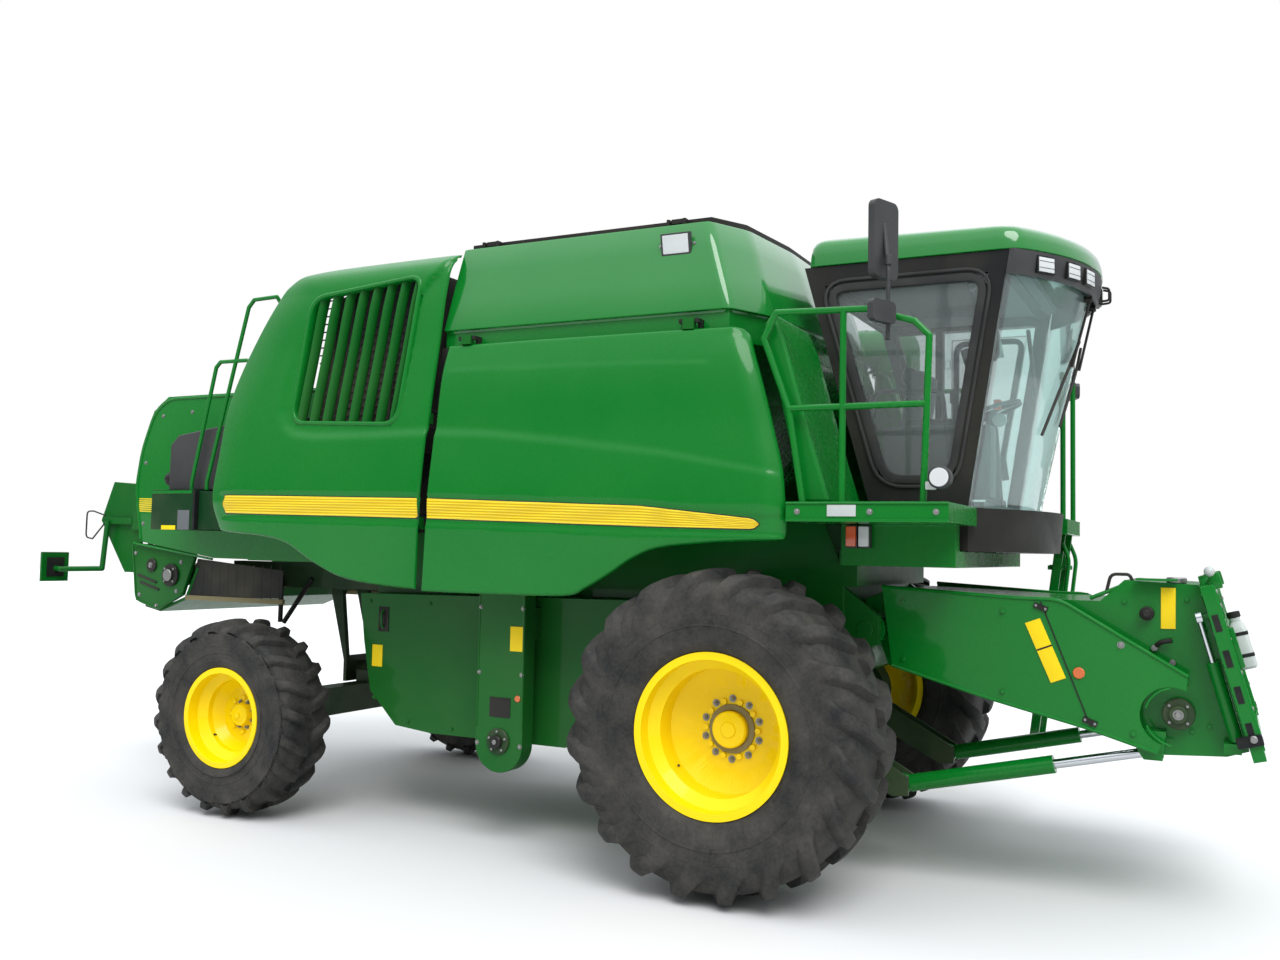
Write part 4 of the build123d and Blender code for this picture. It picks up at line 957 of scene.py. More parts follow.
def rounded_polygon(points, radius, steps=6):
    """Closed outline with its corners turned on arcs."""
    out = []
    count = len(points)
    for i in range(count):
        a, b, c = points[i - 1], points[i], points[(i + 1) % count]
        into = Vector((a[0] - b[0], a[1] - b[1]))
        away = Vector((c[0] - b[0], c[1] - b[1]))
        reach = min(radius, into.length * 0.45, away.length * 0.45)
        p0 = Vector(b) + into.normalized() * reach
        p2 = Vector(b) + away.normalized() * reach
        for k in range(steps + 1):
            t = k / steps
            p = p0 * (1 - t) ** 2 + Vector(b) * (2 * t * (1 - t)) + p2 * t ** 2
            out.append((p.x, p.y))
    return out


def inside(points, x, z):
    """Whether (x, z) lies within a closed outline."""
    hit = False
    for (ax, az), (bx, bz) in zip(points, points[1:] + points[:1]):
        if (az > z) != (bz > z) and x < (bx - ax) * (z - az) / (bz - az) + ax:
            hit = not hit
    return hit


def panel(name, node, side, edges, depth, hole=None):
    """Pressed panel: a fine grid on its curved face, folded back all round."""
    rows = patch(edges, 0.030, 0.016)
    bm = bmesh.new()
    grid = []
    for row in rows:
        line = []
        for x, z in row:
            y = depth(x, z, edges)
            line.append(bm.verts.new((st(x), side * y, z)))
        grid.append(line)
    for a, b, ra, rb in zip(grid, grid[1:], rows, rows[1:]):
        for i in range(len(a) - 1):
            if hole:
                middle = ((ra[i][0] + rb[i + 1][0]) / 2, (ra[i][1] + rb[i + 1][1]) / 2)
                if inside(hole, *middle):
                    continue
            corners = (a[i], a[i + 1], b[i + 1], b[i])
            bm.faces.new(corners if side < 0 else tuple(reversed(corners)))
    if hole:
        for vert in [v for v in bm.verts if not v.link_faces]:
            bm.verts.remove(vert)
        closed = hole + hole[:1]
        for vert in bm.verts:
            if not vert.is_boundary:
                continue
            x, z = vert.co.x - AXLE, vert.co.z
            gap = abs(nearest(closed, x, z)[0])
            if gap > 0.05:
                continue
            best = min(
                (
                    (math.hypot(x - (ax + (bx - ax) * k / 8), z - (az + (bz - az) * k / 8)),
                     ax + (bx - ax) * k / 8, az + (bz - az) * k / 8)
                    for (ax, az), (bx, bz) in zip(closed, closed[1:]) for k in range(9)
                ),
            )
            vert.co.x, vert.co.z = st(best[1]), best[2]
    o = make(name, bm, body_of_node[node], GREEN, 40.0, (node,), turn_out=False)
    shell = o.modifiers.new("shell", "SOLIDIFY")
    shell.thickness = SKIN
    shell.offset = -1.0
    return o


front_left = [(groove_x(1.545) + GROOVE_HALF, 1.545), (groove_x(3.05) + GROOVE_HALF, 3.048)]
front_top = [front_left[1], (-1.2, 3.048), (-0.4, 3.042), (0.020, 3.036), (0.070, 3.024), (0.096, 3.000)]
front_right = curve_points(
    [
        (0.338, 1.905), (0.343, 1.97), (0.338, 2.12), (0.318, 2.27), (0.262, 2.487), (0.190, 2.749),
        (0.120, 2.955), (0.096, 3.000),
    ],
    40,
)
front_bottom = curve_points(
    [
        front_left[0], (-1.458, 1.545), (-0.962, 1.553), (-0.824, 1.602), (-0.670, 1.686), (-0.519, 1.779),
        (-0.347, 1.838), (0.013, 1.872), (0.30, 1.886), (0.338, 1.905),
    ],
    60,
)
front_edges = (front_left, front_right, front_top, front_bottom)
rear_left = curve_points(
    [
        (-3.700, 1.915), (-3.752, 2.05), (-3.762, 2.171), (-3.724, 2.392), (-3.667, 2.726),
        (-3.535, 3.055), (-3.290, 3.459), (-3.205, 3.558),
    ],
    60,
)
rear_right = [
    (groove_x(1.555) - GROOVE_HALF - 0.005, 1.555), (groove_x(3.648) - GROOVE_HALF - 0.005, 3.646),
]
rear_top = curve_points(
    [(-3.205, 3.558), (-3.10, 3.606), (-2.863, 3.634), (-2.40, 3.644), rear_right[1]], 40,
)
rear_bottom = curve_points(
    [
        (-3.700, 1.915), (-3.640, 1.890), (-3.272, 1.864), (-3.056, 1.819), (-2.842, 1.705),
        (-2.635, 1.620), (-2.372, 1.577), rear_right[0],
    ],
    60,
)
rear_edges = (rear_left, rear_right, rear_top, rear_bottom)
left_rear_left = curve_points(
    [
        (-3.700, 1.915), (-3.752, 2.05), (-3.762, 2.171), (-3.724, 2.392), (-3.667, 2.726), (-3.60, 2.93),
        (-3.545, 3.010),
    ],
    60,
)
left_rear_top = [
    (-3.545, 3.010), (-3.49, 3.040), (-3.40, 3.046), (groove_x(3.046) - GROOVE_HALF - 0.005, 3.046),
]
left_rear_edges = (
    left_rear_left, [rear_right[0], left_rear_top[-1]], left_rear_top, rear_bottom,
)
louvre_loop = rounded_polygon(LOUVRE, 0.11, 8)
for side, word in SIDES:
    panel("panel_front_" + word, "front_panel_" + word, side, front_edges, front_depth)
panel("panel_rear_right", "rear_panel_right", -1, rear_edges, rear_depth, louvre_loop)
panel("panel_rear_left", "rear_panel_left", 1, left_rear_edges, rear_depth)


# Hinge ears of the side panels, from the panels' own solids

def within(p, low, high):
    """Whether a point, taken to the left side, lies in a box."""
    return all(a <= c <= b for a, c, b in zip(low, (p.x, abs(p.y), p.z), high))


def hinge_ears(name, node, boxes):
    """Keeps a panel's ears as they are, since the pressed skin stands for the rest of it."""
    bm = bmesh.new()
    bm.from_mesh(nodes[node].data)
    bm.transform(nodes[node].matrix_world)
    drop = []
    for face in bm.faces:
        in_ear = any(all(within(v.co, low, high) for v in face.verts) for low, high in boxes)
        if not in_ear:
            drop.append(face)
    bmesh.ops.delete(bm, geom=drop, context="FACES")
    if len(bm.faces):
        make(name, bm, body_of_node[node], GREEN_LOW_SHADE, 30.0, (node,), turn_out=False)
    else:
        bm.free()


for word in ("right", "left"):
    hinge_ears("panel_ears_front_" + word, "front_panel_" + word, [
        ((st(x) - 0.0345, 1.463, 3.029), (st(x) + 0.0345, 1.501, 3.100)) for x in (-1.72, -0.24)
    ])
    hinge_ears("panel_ears_rear_" + word, "rear_panel_" + word, [
        (
            (st(groove_x(z) - 0.055) - 0.018, 1.485, z - 0.0345),
            (st(groove_x(z) - 0.055) + 0.022, 1.541, z + 0.0345),
        )
        for z in (1.96, 2.60)
    ])

# Louvre: moulded rim round the opening and slanted blades
bm = bmesh.new()
loops = []
for grow, proud in (
    (-0.004, -0.055), (-0.016, -0.050), (-0.016, 0.004), (-0.010, 0.010), (0.000, 0.011), (0.010, 0.008),
    (0.018, 0.000), (0.020, -0.012),
):
    loop = []
    centre = Vector((sum(p[0] for p in LOUVRE) / 4, sum(p[1] for p in LOUVRE) / 4))
    for x, z in louvre_loop:
        out = (Vector((x, z)) - centre).normalized()
        px, pz = x + out.x * grow, z + out.y * grow
        loop.append(Vector((st(px), -(rear_depth(x, z, rear_edges) + proud), pz)))
    loops.append(loop)
loft(bm, loops, cap=False)
make("louvre_rim", bm, body_of_node["rear_panel_right"], GREEN, 60.0)
bm = bmesh.new()
BLADES = 8
BLADE_TURN = math.radians(24)
for k in range(BLADES):
    share = (k + 0.62) / BLADES
    top_point = between(LOUVRE[0], LOUVRE[1], share)
    low_point = between(LOUVRE[3], LOUVRE[2], share)
    loops = []
    for j in range(13):
        x, z = between(low_point, top_point, -0.01 + 1.02 * j / 12)
        y = smooth_at(REAR_SECTION, z) - 0.020
        loop = []
        for i in range(14):
            a = 2 * math.pi * i / 14
            ex, ey = 0.015 * math.cos(a), 0.034 * math.sin(a)
            rx = ex * math.cos(BLADE_TURN) - ey * math.sin(BLADE_TURN)
            ry = ex * math.sin(BLADE_TURN) + ey * math.cos(BLADE_TURN)
            loop.append(Vector((st(x + rx), -(y - 0.022 + ry), z)))
        loops.append(loop)
    loft(bm, loops)
make("louvre_blades", bm, body_of_node["rear_panel_right"], GREEN_LOW_SHADE, 60.0)

# Dark cooler side behind the louvre
bm = bmesh.new()
side_plate(bm, -1.28, [(-3.045, 2.62), (-2.70, 2.50), (-2.62, 3.53), (-2.935, 3.44)], 0.03, 0.004)
for k in range(16):
    z = 2.66 + 0.052 * k
    bar(bm, [(-3.02, -1.335, z), (-2.10, -1.345, z + 0.02)], 0.005, 8)
for k in range(7):
    x = -2.95 + 0.13 * k
    side_bar(bm, -1.345, [(x, 2.56), (x + 0.1, 3.46)], 0.007, 8)
make("cooler_screen", bm, "chassis", DARK_METAL, 40.0)

# Stripe film: raised ridges on a dark backing, with painted shade in their valleys, in three lengths a side
RIDGES = 7


def stripe(name, side, x0, x1, body, surface, top_line, low_line, round_rear, round_front):
    """Film between two lines on a surface, with rounded ends where a radius is given, and painted shade in
    its ridge valleys.
    """
    bm = bmesh.new()
    count = max(8, int((x1 - x0) / 0.025))
    for grow, proud, index in ((0.006, 0.0015, 2), (0.0, 0.0035, 0)):
        rows = []
        for i in range(count + 1):
            x = x0 - grow + (x1 - x0 + 2 * grow) * i / count
            top = line_at(top_line, x) + grow
            low = line_at(low_line, x) - grow
            middle = (top + low) / 2
            half = (top - low) / 2
            for limit, distance in ((round_rear, x - x0 + grow), (round_front, x1 + grow - x)):
                if limit and distance < limit:
                    t = max(0.0, 1.0 - distance / limit)
                    half *= math.sqrt(max(0.02, 1.0 - t ** 2))
            row = []
            levels = RIDGES * 4 if index == 0 else 4
            for j in range(levels + 1):
                t = j / levels
                z = middle - half + 2 * half * t
                lift = proud + (0.0012 if index == 0 and j % 4 else 0.0)
                row.append(bm.verts.new((st(x), side * (surface(x, z) + lift), z)))
            rows.append(row)
        for a, b in zip(rows, rows[1:]):
            for j in range(len(a) - 1):
                corners = (a[j], b[j], b[j + 1], a[j + 1])
                face = bm.faces.new(corners if side < 0 else tuple(reversed(corners)))
                # Rows at each ridge's foot take the darker yellow: painted shade.
                face.material_index = index if index else (
                    1 if j % 4 in (0, 3) and 0 < j < len(a) - 2 else 0
                )
    make(name, bm, body, [STRIPE, STRIPE_VALLEY_SHADE, SEAL], 40.0, turn_out=False)


for side, word in SIDES:
    use_rear = rear_edges if side < 0 else left_rear_edges
    stripe(
        "stripe_rear_" + word, side, -3.625, groove_x(2.06) - GROOVE_HALF - 0.012,
        body_of_node["rear_panel_" + word],
        lambda x, z: rear_depth(x, z, use_rear), STRIPE_TOP, STRIPE_LOW, 0.03, 0.0,
    )
    stripe(
        "stripe_front_" + word, side, groove_x(2.04) + GROOVE_HALF + 0.012, 0.215,
        body_of_node["front_panel_" + word],
        lambda x, z: front_depth(x, z, front_edges), STRIPE_TOP, STRIPE_LOW, 0.0, 0.06,
    )
    stripe(
        "stripe_hood_" + word, side, -5.155, -4.56, "chassis", lambda x, z: 0.950,
        [(-5.2, 2.150), (-4.5, 2.140)], [(-5.2, 2.040), (-4.5, 2.022)], 0.0, 0.0,
    )

# Grain tank's outer skin: proud of the tank, with a lip over the panels' recess
bm = bmesh.new()
tank_right = [(-1.922, 1.415), (-0.032, 1.415), (0.086, 1.132), (0.172, 0.509)]
tank_left = [(0.172, 0.509), (0.086, 0.892), (-0.032, 1.115), (-1.922, 1.115)]
top_right = [(-1.868, 1.300), (-0.216, 1.300), (-0.090, 1.040), (-0.028, 0.468)]
top_left = [(-0.028, 0.391), (-0.090, 0.868), (-0.216, 1.085), (-1.868, 1.085)]


def plan_loop(right_points, left_points, grow):
    """The tank's plan outline moved outward by grow, open at the back."""
    pts = [(x, -y) for x, y in right_points] + [(x, y) for x, y in left_points]
    centre = Vector((-0.95, 0.0))
    out = []
    for i, (x, y) in enumerate(pts):
        a = Vector(pts[i - 1]) if i else None
        c = Vector(pts[i + 1]) if i + 1 < len(pts) else None
        p = Vector((x, y))
        normals = []
        for first, second in ((a, p), (p, c)):
            if first is None or second is None:
                continue
            d = (second - first).normalized()
            n = Vector((d.y, -d.x))
            if n.dot(p - centre) < 0:
                n = -n
            normals.append(n)
        n = sum(normals, Vector((0, 0))).normalized()
        scale = 1.0 / max(0.5, n.dot(normals[0]))
        q = p + n * grow * scale
        if i in (0, len(pts) - 1):
            q.x = x
        out.append((q.x, q.y))
    return out


def soften_line(points, radius):
    """A 2D line with its corners turned on arcs."""
    path = rounded_path([(x, y, 0.0) for x, y in points], radius, 4)
    return [(p.x, p.y) for p in path]


levels = []
for share, grow in (
    (-0.03, 0.002), (-0.008, 0.004), (-0.004, 0.022), (0.0, 0.028), (0.012, 0.030), (0.35, 0.030),
    (0.7, 0.027), (0.97, 0.022), (0.985, 0.018), (0.99, 0.0),
):
    z = 3.150 + share * 0.540
    rise = max(0.0, share)
    base_right = [between(a, b, rise) for a, b in zip(tank_right, top_right)]
    base_left = [between(a, b, rise) for a, b in zip(tank_left, top_left)]
    line = soften_line(plan_loop(base_right, base_left, grow), 0.05)
    levels.append([Vector((st(x), y, z)) for x, y in line])
rows = [[bm.verts.new(p) for p in line] for line in levels]
for a, b in zip(rows, rows[1:]):
    for i in range(len(a) - 1):
        bm.faces.new((a[i], a[i + 1], b[i + 1], b[i]))
tank_skin = make("tank_skin", bm, "chassis", GREEN_LIT_TOP, 28.0, turn_out=False)
tank_shell = tank_skin.modifiers.new("shell", "SOLIDIFY")
tank_shell.thickness = 0.004
tank_shell.offset = -1.0

# Rectangular work light at the tank's corner
bm = bmesh.new()
LIGHT_TILT = Matrix.Rotation(math.atan2(0.115, 0.54), 3, "X")
light_mid = (-0.38, -(1.3375 + 0.030), 3.555)
box(bm, light_mid, (0.185, 0.030, 0.130), 0.008, 0, LIGHT_TILT)
box(bm, (light_mid[0], light_mid[1] - 0.011, light_mid[2]), (0.160, 0.016, 0.106), 0.006, 1, LIGHT_TILT)
for dx in (-0.105, 0.105):
    hexbolt(bm, (light_mid[0] + dx, light_mid[1] + 0.012, light_mid[2]), (0, -1, 0.21), 0.007, 0.006, 2)
make("tank_work_light", bm, "chassis", [BLACK_PLASTIC, LAMP_WHITE, STEEL], 40.0)


# Wheels: bolts, hub rings, caps and valves on the rims

def rim_details(name, body, hub, side, dish, bolt_r, bolts, bolt_size, ring_r, cap_r, valve_r):
    """Parts on one rim, on the wheel axis through hub; dish is how far its face is set in."""
    bm = bmesh.new()
    face = -dish
    collar = [
        (ring_r, face + 0.001), (ring_r, face + 0.012), (ring_r - 0.006, face + 0.016),
        (cap_r + 0.004, face + 0.018), (cap_r + 0.004, face + 0.001),
    ]
    lathe(bm, collar, hub, side, 72, 1)
    cap = [
        (cap_r, face + 0.004), (cap_r, face + 0.050), (cap_r - 0.008, face + 0.058),
        (cap_r * 0.45, face + 0.062),
        (cap_r * 0.40, face + 0.070), (cap_r * 0.12, face + 0.072), (0.0005, face + 0.072),
    ]
    lathe(bm, cap, hub, side, 72)
    y = hub[1] + side * (face + 0.002)
    for k in range(bolts):
        a = 2 * math.pi * (k + 0.5) / bolts
        x, z = hub[0] + bolt_r * math.cos(a), hub[2] + bolt_r * math.sin(a)
        side_bolts(bm, y, [(x, z)], bolt_size, bolt_size * 1.1, 2)
        boss(bm, x, z, y, y + side * bolt_size * 2.3, bolt_size * 0.42, 10, 0.001, 2)
    a = math.radians(218)
    valve = []
    for reach, out in ((valve_r, 0.02), (valve_r - 0.02, 0.06)):
        valve.append((hub[0] + reach * math.cos(a), hub[1] + side * out, hub[2] + reach * math.sin(a)))
    bar(bm, valve, 0.006, 10, 3)
    make(name, bm, body, [YELLOW, GREY_HUB, STEEL, SEAL], 35.0)


FRONT_RIM = dict(
    dish=0.070, bolt_r=0.162, bolts=10, bolt_size=0.014, ring_r=0.131, cap_r=0.098, valve_r=0.345,
)
REAR_RIM = dict(
    dish=0.030, bolt_r=0.088, bolts=8, bolt_size=0.011, ring_r=0.066, cap_r=0.050, valve_r=0.245,
)
for side, word in SIDES:
    for end, hub, sizes in (("front", FRONT_HUB, FRONT_RIM), ("rear", REAR_HUB, REAR_RIM)):
        body = body_of_node[end + "_rim_" + word]
        rim_details("rim_parts_" + end + "_" + word, body, hub_at(hub, side), side, **sizes)

# Cab roof: the CAD roof's form with rounded edges, and the black visor under its front
ARC_BACK = 1.390
ARC_NOSE = 1.745
ROOF_HALF = 0.862
ROOF_LOW = 3.482
ROOF_MIDDLE = 0.80


def arc_outline(back, nose, half, count=25, reach=0.97):
    """Bowed front between two sides, in plan, from right to left."""
    sag = nose - back
    radius = (half * half + sag * sag) / (2 * sag)
    centre = nose - radius
    limit = math.asin(half * reach / radius)
    return [
        (centre + radius * math.cos(a), radius * math.sin(a))
        for a in (-limit + 2 * limit * i / (count - 1) for i in range(count))
    ]


def roof_top(x):
    """Height of the roof at a station, a little lower towards the front."""
    return 3.665 - 0.025 * (x - 0.33) / 1.06


roof_plan = [(0.225, -ROOF_HALF), (1.34, -ROOF_HALF)] + arc_outline(ARC_BACK, ARC_NOSE, ROOF_HALF) + [
    (1.34, ROOF_HALF), (0.225, ROOF_HALF),
]
roof_plan = rounded_polygon(roof_plan, 0.07, 5)
bm = bmesh.new()
loops = []
for share, inset in (
    (0.0, 0.035), (0.0, 0.004), (0.02, 0.0), (0.35, 0.004), (0.62, 0.014), (0.78, 0.030), (0.89, 0.055),
    (0.955, 0.09), (0.985, 0.14), (1.0, 0.22), (1.0, 0.45),
):
    loop = []
    for x, y in roof_plan:
        px = ROOF_MIDDLE + (x - ROOF_MIDDLE) * (1 - inset / 0.75)
        py = y * (1 - inset / ROOF_HALF)
        loop.append(Vector((st(px), py, ROOF_LOW + share * (roof_top(px) - ROOF_LOW))))
    loops.append(loop)
loft(bm, loops)
make("roof_skin", bm, "chassis", GREEN_LIT_TOP, 35.0, ("cab_roof",))

bm = bmesh.new()
section = (
    (3.345, 1.362, 1.716), (3.350, 1.366, 1.720), (3.472, 1.387, 1.741), (3.4815, 1.384, 1.738),
    (3.4815, 1.360, 1.706), (3.345, 1.340, 1.694),
)
rows = []
for z, back, nose in section:
    rows.append([bm.verts.new((st(x), y, z)) for x, y in arc_outline(back, nose, 0.858, 33, 1.0)])
for a, b in zip(rows, rows[1:] + rows[:1]):
    for i in range(len(a) - 1):
        bm.faces.new((a[i], a[i + 1], b[i + 1], b[i]))
bm.faces.new([row[0] for row in rows])
bm.faces.new([row[-1] for row in reversed(rows)])
make("roof_visor", bm, "chassis", BLACK_PLASTIC, 40.0)

bm = bmesh.new()
VISOR_RADIUS = 1.1975
VISOR_CENTRE = 0.5445
for y in (-0.69, -0.48, -0.29, 0.29, 0.48, 0.69):
    a = math.asin(y / VISOR_RADIUS)
    turn = Matrix.Rotation(a, 3, "Z")
    out = Vector((math.cos(a), math.sin(a), 0))
    at = Vector((st(VISOR_CENTRE), 0, 3.412)) + out * (VISOR_RADIUS - 0.006)
    box(bm, at, (0.022, 0.134, 0.098), 0.006, 0, turn)
    box(bm, at + out * 0.008, (0.014, 0.114, 0.080), 0.005, 1, turn)
    upright, across = Vector((0, 0, 1)), Vector((-out.y, out.x, 0))
    bar(bm, [at + out * 0.012 + upright * 0.050, at + out * 0.012 - upright * 0.050], 0.0025, 8)
    for dz in (-0.018, 0.018):
        middle = at + out * 0.0155 + upright * dz
        bar(bm, [middle + across * 0.056, middle - across * 0.056], 0.0016, 6)
for y in (0.10, 0.18):
    side_tube(bm, y, [(1.735, 3.44), (1.775, 3.43), (1.775, 3.36), (1.72, 3.355)], 0.007, 0.015, 10)
make("visor_lamps", bm, "chassis", [BLACK, LAMP_WHITE], 40.0)


def on_glass(y, z, out=0.0):
    """Point on the bowed windscreen."""
    t = (z - 2.086) / 1.394
    back, nose = 1.144 + 0.212 * t, 1.384 + 0.306 * t
    sag = nose - back
    radius = (0.846 ** 2 + sag * sag) / (2 * sag)
    x = nose - radius + math.sqrt(max(0.0, radius * radius - y * y))
    return Vector((st(x + out), y, z))


# Wipers and seals round the cab glass
bm = bmesh.new()
for pivot, elbow, top, low in (
    ((-0.10, 3.33), (-0.16, 2.93), (-0.02, 3.10), (-0.34, 2.52)),
    ((0.16, 3.33), (0.12, 2.95), (0.22, 3.10), (-0.02, 2.60)),
):
    p = on_glass(*pivot, 0.035)
    cylinder(bm, p - Vector((0.03, 0, 0)), p + Vector((0.012, 0, 0)), 0.018, 16, 0.003)
    bar(bm, [p, on_glass(*elbow, 0.035)], 0.008, 10)
    tube(bm, [on_glass(*top, 0.014), on_glass(*elbow, 0.020), on_glass(*low, 0.014)], 0.009, 0.08, 10)
make("wipers", bm, "chassis", BLACK, 40.0)

WINDOW = [(0.330, 3.366), (1.249, 3.366), (1.066, 2.225), (0.668, 2.225)]


def loop_strip(bm, outline, y_out, y_in, grow_out, grow_in):
    """Flat-faced gasket that follows an outline in the XZ plane."""
    cx = sum(p[0] for p in outline) / len(outline)
    cz = sum(p[1] for p in outline) / len(outline)

    def moved(grow, y):
        """The outline grown outward, at one depth."""
        pts = []
        n = len(outline)
        for i in range(n):
            a, b, c = Vector(outline[i - 1]), Vector(outline[i]), Vector(outline[(i + 1) % n])
            t = (c - a).normalized()
            normal = Vector((t.y, -t.x))
            if normal.dot(b - Vector((cx, cz))) < 0:
                normal = -normal
            q = b + normal * grow
            pts.append(Vector((st(q.x), y, q.y)))
        return pts

    section = (
        (grow_in, y_in), (grow_in, y_out), ((grow_in + grow_out) / 2, y_out * 1.004), (grow_out, y_out),
        (grow_out, y_in),
    )
    loft(bm, [moved(grow, y) for grow, y in section], cap=False)


bm = bmesh.new()
rounded_window = rounded_polygon(WINDOW, 0.13, 6)
loop_strip(bm, rounded_window, -0.854, -0.815, 0.004, -0.038)
loop_strip(bm, rounded_window, -0.862, -0.846, 0.032, 0.016)
loop_strip(
    bm, rounded_polygon([(0.715, 3.297), (1.185, 3.297), (1.010, 2.235), (0.715, 2.235)], 0.09, 6), 0.856,
    0.82, 0.004, -0.03,
)
make("window_seals", bm, "chassis", SEAL, 50.0)

# Inside the cab: headliner, sunshade, hand rails, arm rests, side desk and monitor
MONITOR_TILT = Matrix.Rotation(-0.3, 3, "Y")
bm = bmesh.new()
box(bm, (0.82, 0, 3.452), (1.02, 1.56, 0.045), 0.012)
box(bm, (1.26, 0, 3.435), (0.30, 1.30, 0.05), 0.02)
box(bm, (0.80, 0.45, 3.40), (0.5, 0.34, 0.07), 0.02)
side_plate(bm, -0.30, [(1.054, 3.40), (1.16, 3.40), (1.24, 2.985), (1.155, 2.975)], 0.006, 0.001, 1)
boss(bm, 1.06, 3.415, -0.34, 0.5, 0.022, 16, 0.003, 1)
tube(
    bm, [(1.225, -0.765, 3.33), (1.235, -0.72, 3.30), (1.275, -0.72, 2.93), (1.262, -0.765, 2.90)], 0.014,
    0.04, 12, 2,
)
tube(
    bm, [(1.215, 0.765, 3.33), (1.225, 0.72, 3.30), (1.265, 0.72, 2.93), (1.252, 0.765, 2.90)], 0.014,
    0.04, 12, 2,
)
box(bm, (0.86, -0.36, 2.60), (0.42, 0.14, 0.05), 0.018, 2)
box(bm, (0.86, 0.36, 2.60), (0.34, 0.07, 0.05), 0.018, 2)
box(bm, (0.90, -0.46, 2.36), (0.62, 0.20, 0.42), 0.03, 2)
side_bar(bm, -0.46, [(1.05, 2.55), (1.08, 2.78)], 0.016, 12, 2)
box(bm, (1.09, -0.46, 2.90), (0.05, 0.18, 0.22), 0.012, 2, MONITOR_TILT)
box(bm, (1.065, -0.46, 2.905), (0.006, 0.15, 0.18), 0.002, 1, MONITOR_TILT)
cylinder(bm, (0.99, -0.44, 2.58), (0.985, -0.44, 2.72), 0.011, 12, 0.002, 2)
box(bm, (0.983, -0.44, 2.745), (0.05, 0.045, 0.08), 0.016, 2)
side_tube(bm, -0.735, [(0.575, 2.62), (0.60, 2.76), (0.98, 2.74), (1.02, 2.34)], 0.012, 0.06, 12, 2)
box(bm, (1.165, -0.085, 2.735), (0.045, 0.035, 0.065), 0.01, 3)
boss(bm, 1.175, 2.645, -0.070, -0.085, 0.042, 24, 0.002, 1)
make("cab_inside", bm, "chassis", [GREY_PLASTIC, CANISTER, BLACK_PLASTIC, LAMP_ORANGE], 40.0)

# Platform edges, treads and lamps, and the right-hand rail's lamp
bm = bmesh.new()
for side in (-1, 1):
    front_end = 1.190 if side < 0 else 1.450
    side_bar(bm, side * 1.552, [(0.36, 2.079), (front_end, 2.079)], 0.007, 8)
    box(bm, ((0.36 + front_end) / 2, side * 1.553, 1.992), (front_end - 0.36, 0.008, 0.016), 0.002)
    side_bolts(bm, side * 1.551, [(x, 2.035) for x in (0.42, 0.80, 1.13)], 0.011, 0.008, 1)
    for k in range(16):
        x = 0.40 + k * (front_end - 0.44) / 15
        box(bm, (x, side * 1.20, 2.0875), (0.010, 0.60, 0.005), 0.001)
    for x, face in ((0.575, 3), (0.645, 4)):
        box(bm, (x, side * 1.082, 1.918), (0.066, 0.05, 0.125), 0.012, 2)
        box(bm, (x, side * 1.112, 1.918), (0.056, 0.022, 0.110), 0.010, face)
box(bm, (0.655, -1.5535, 2.040), (0.150, 0.004, 0.058), 0.001, 5)
boss(bm, 1.150, 2.202, -1.515, -1.585, 0.056, 28, 0.006, 2)
boss(bm, 1.150, 2.202, -1.585, -1.590, 0.046, 28, 0.002, 4)
box(bm, (1.095, -1.512, 2.165), (0.05, 0.03, 0.04), 0.006, 5)
bar(bm, [(1.062, -1.50, 2.16), (1.13, -1.515, 2.18)], 0.010, 10, 2)
make("platform_trim", bm, "chassis", [GREEN, STEEL, BLACK_PLASTIC, LAMP_ORANGE, LAMP_WHITE, CANISTER], 40.0)

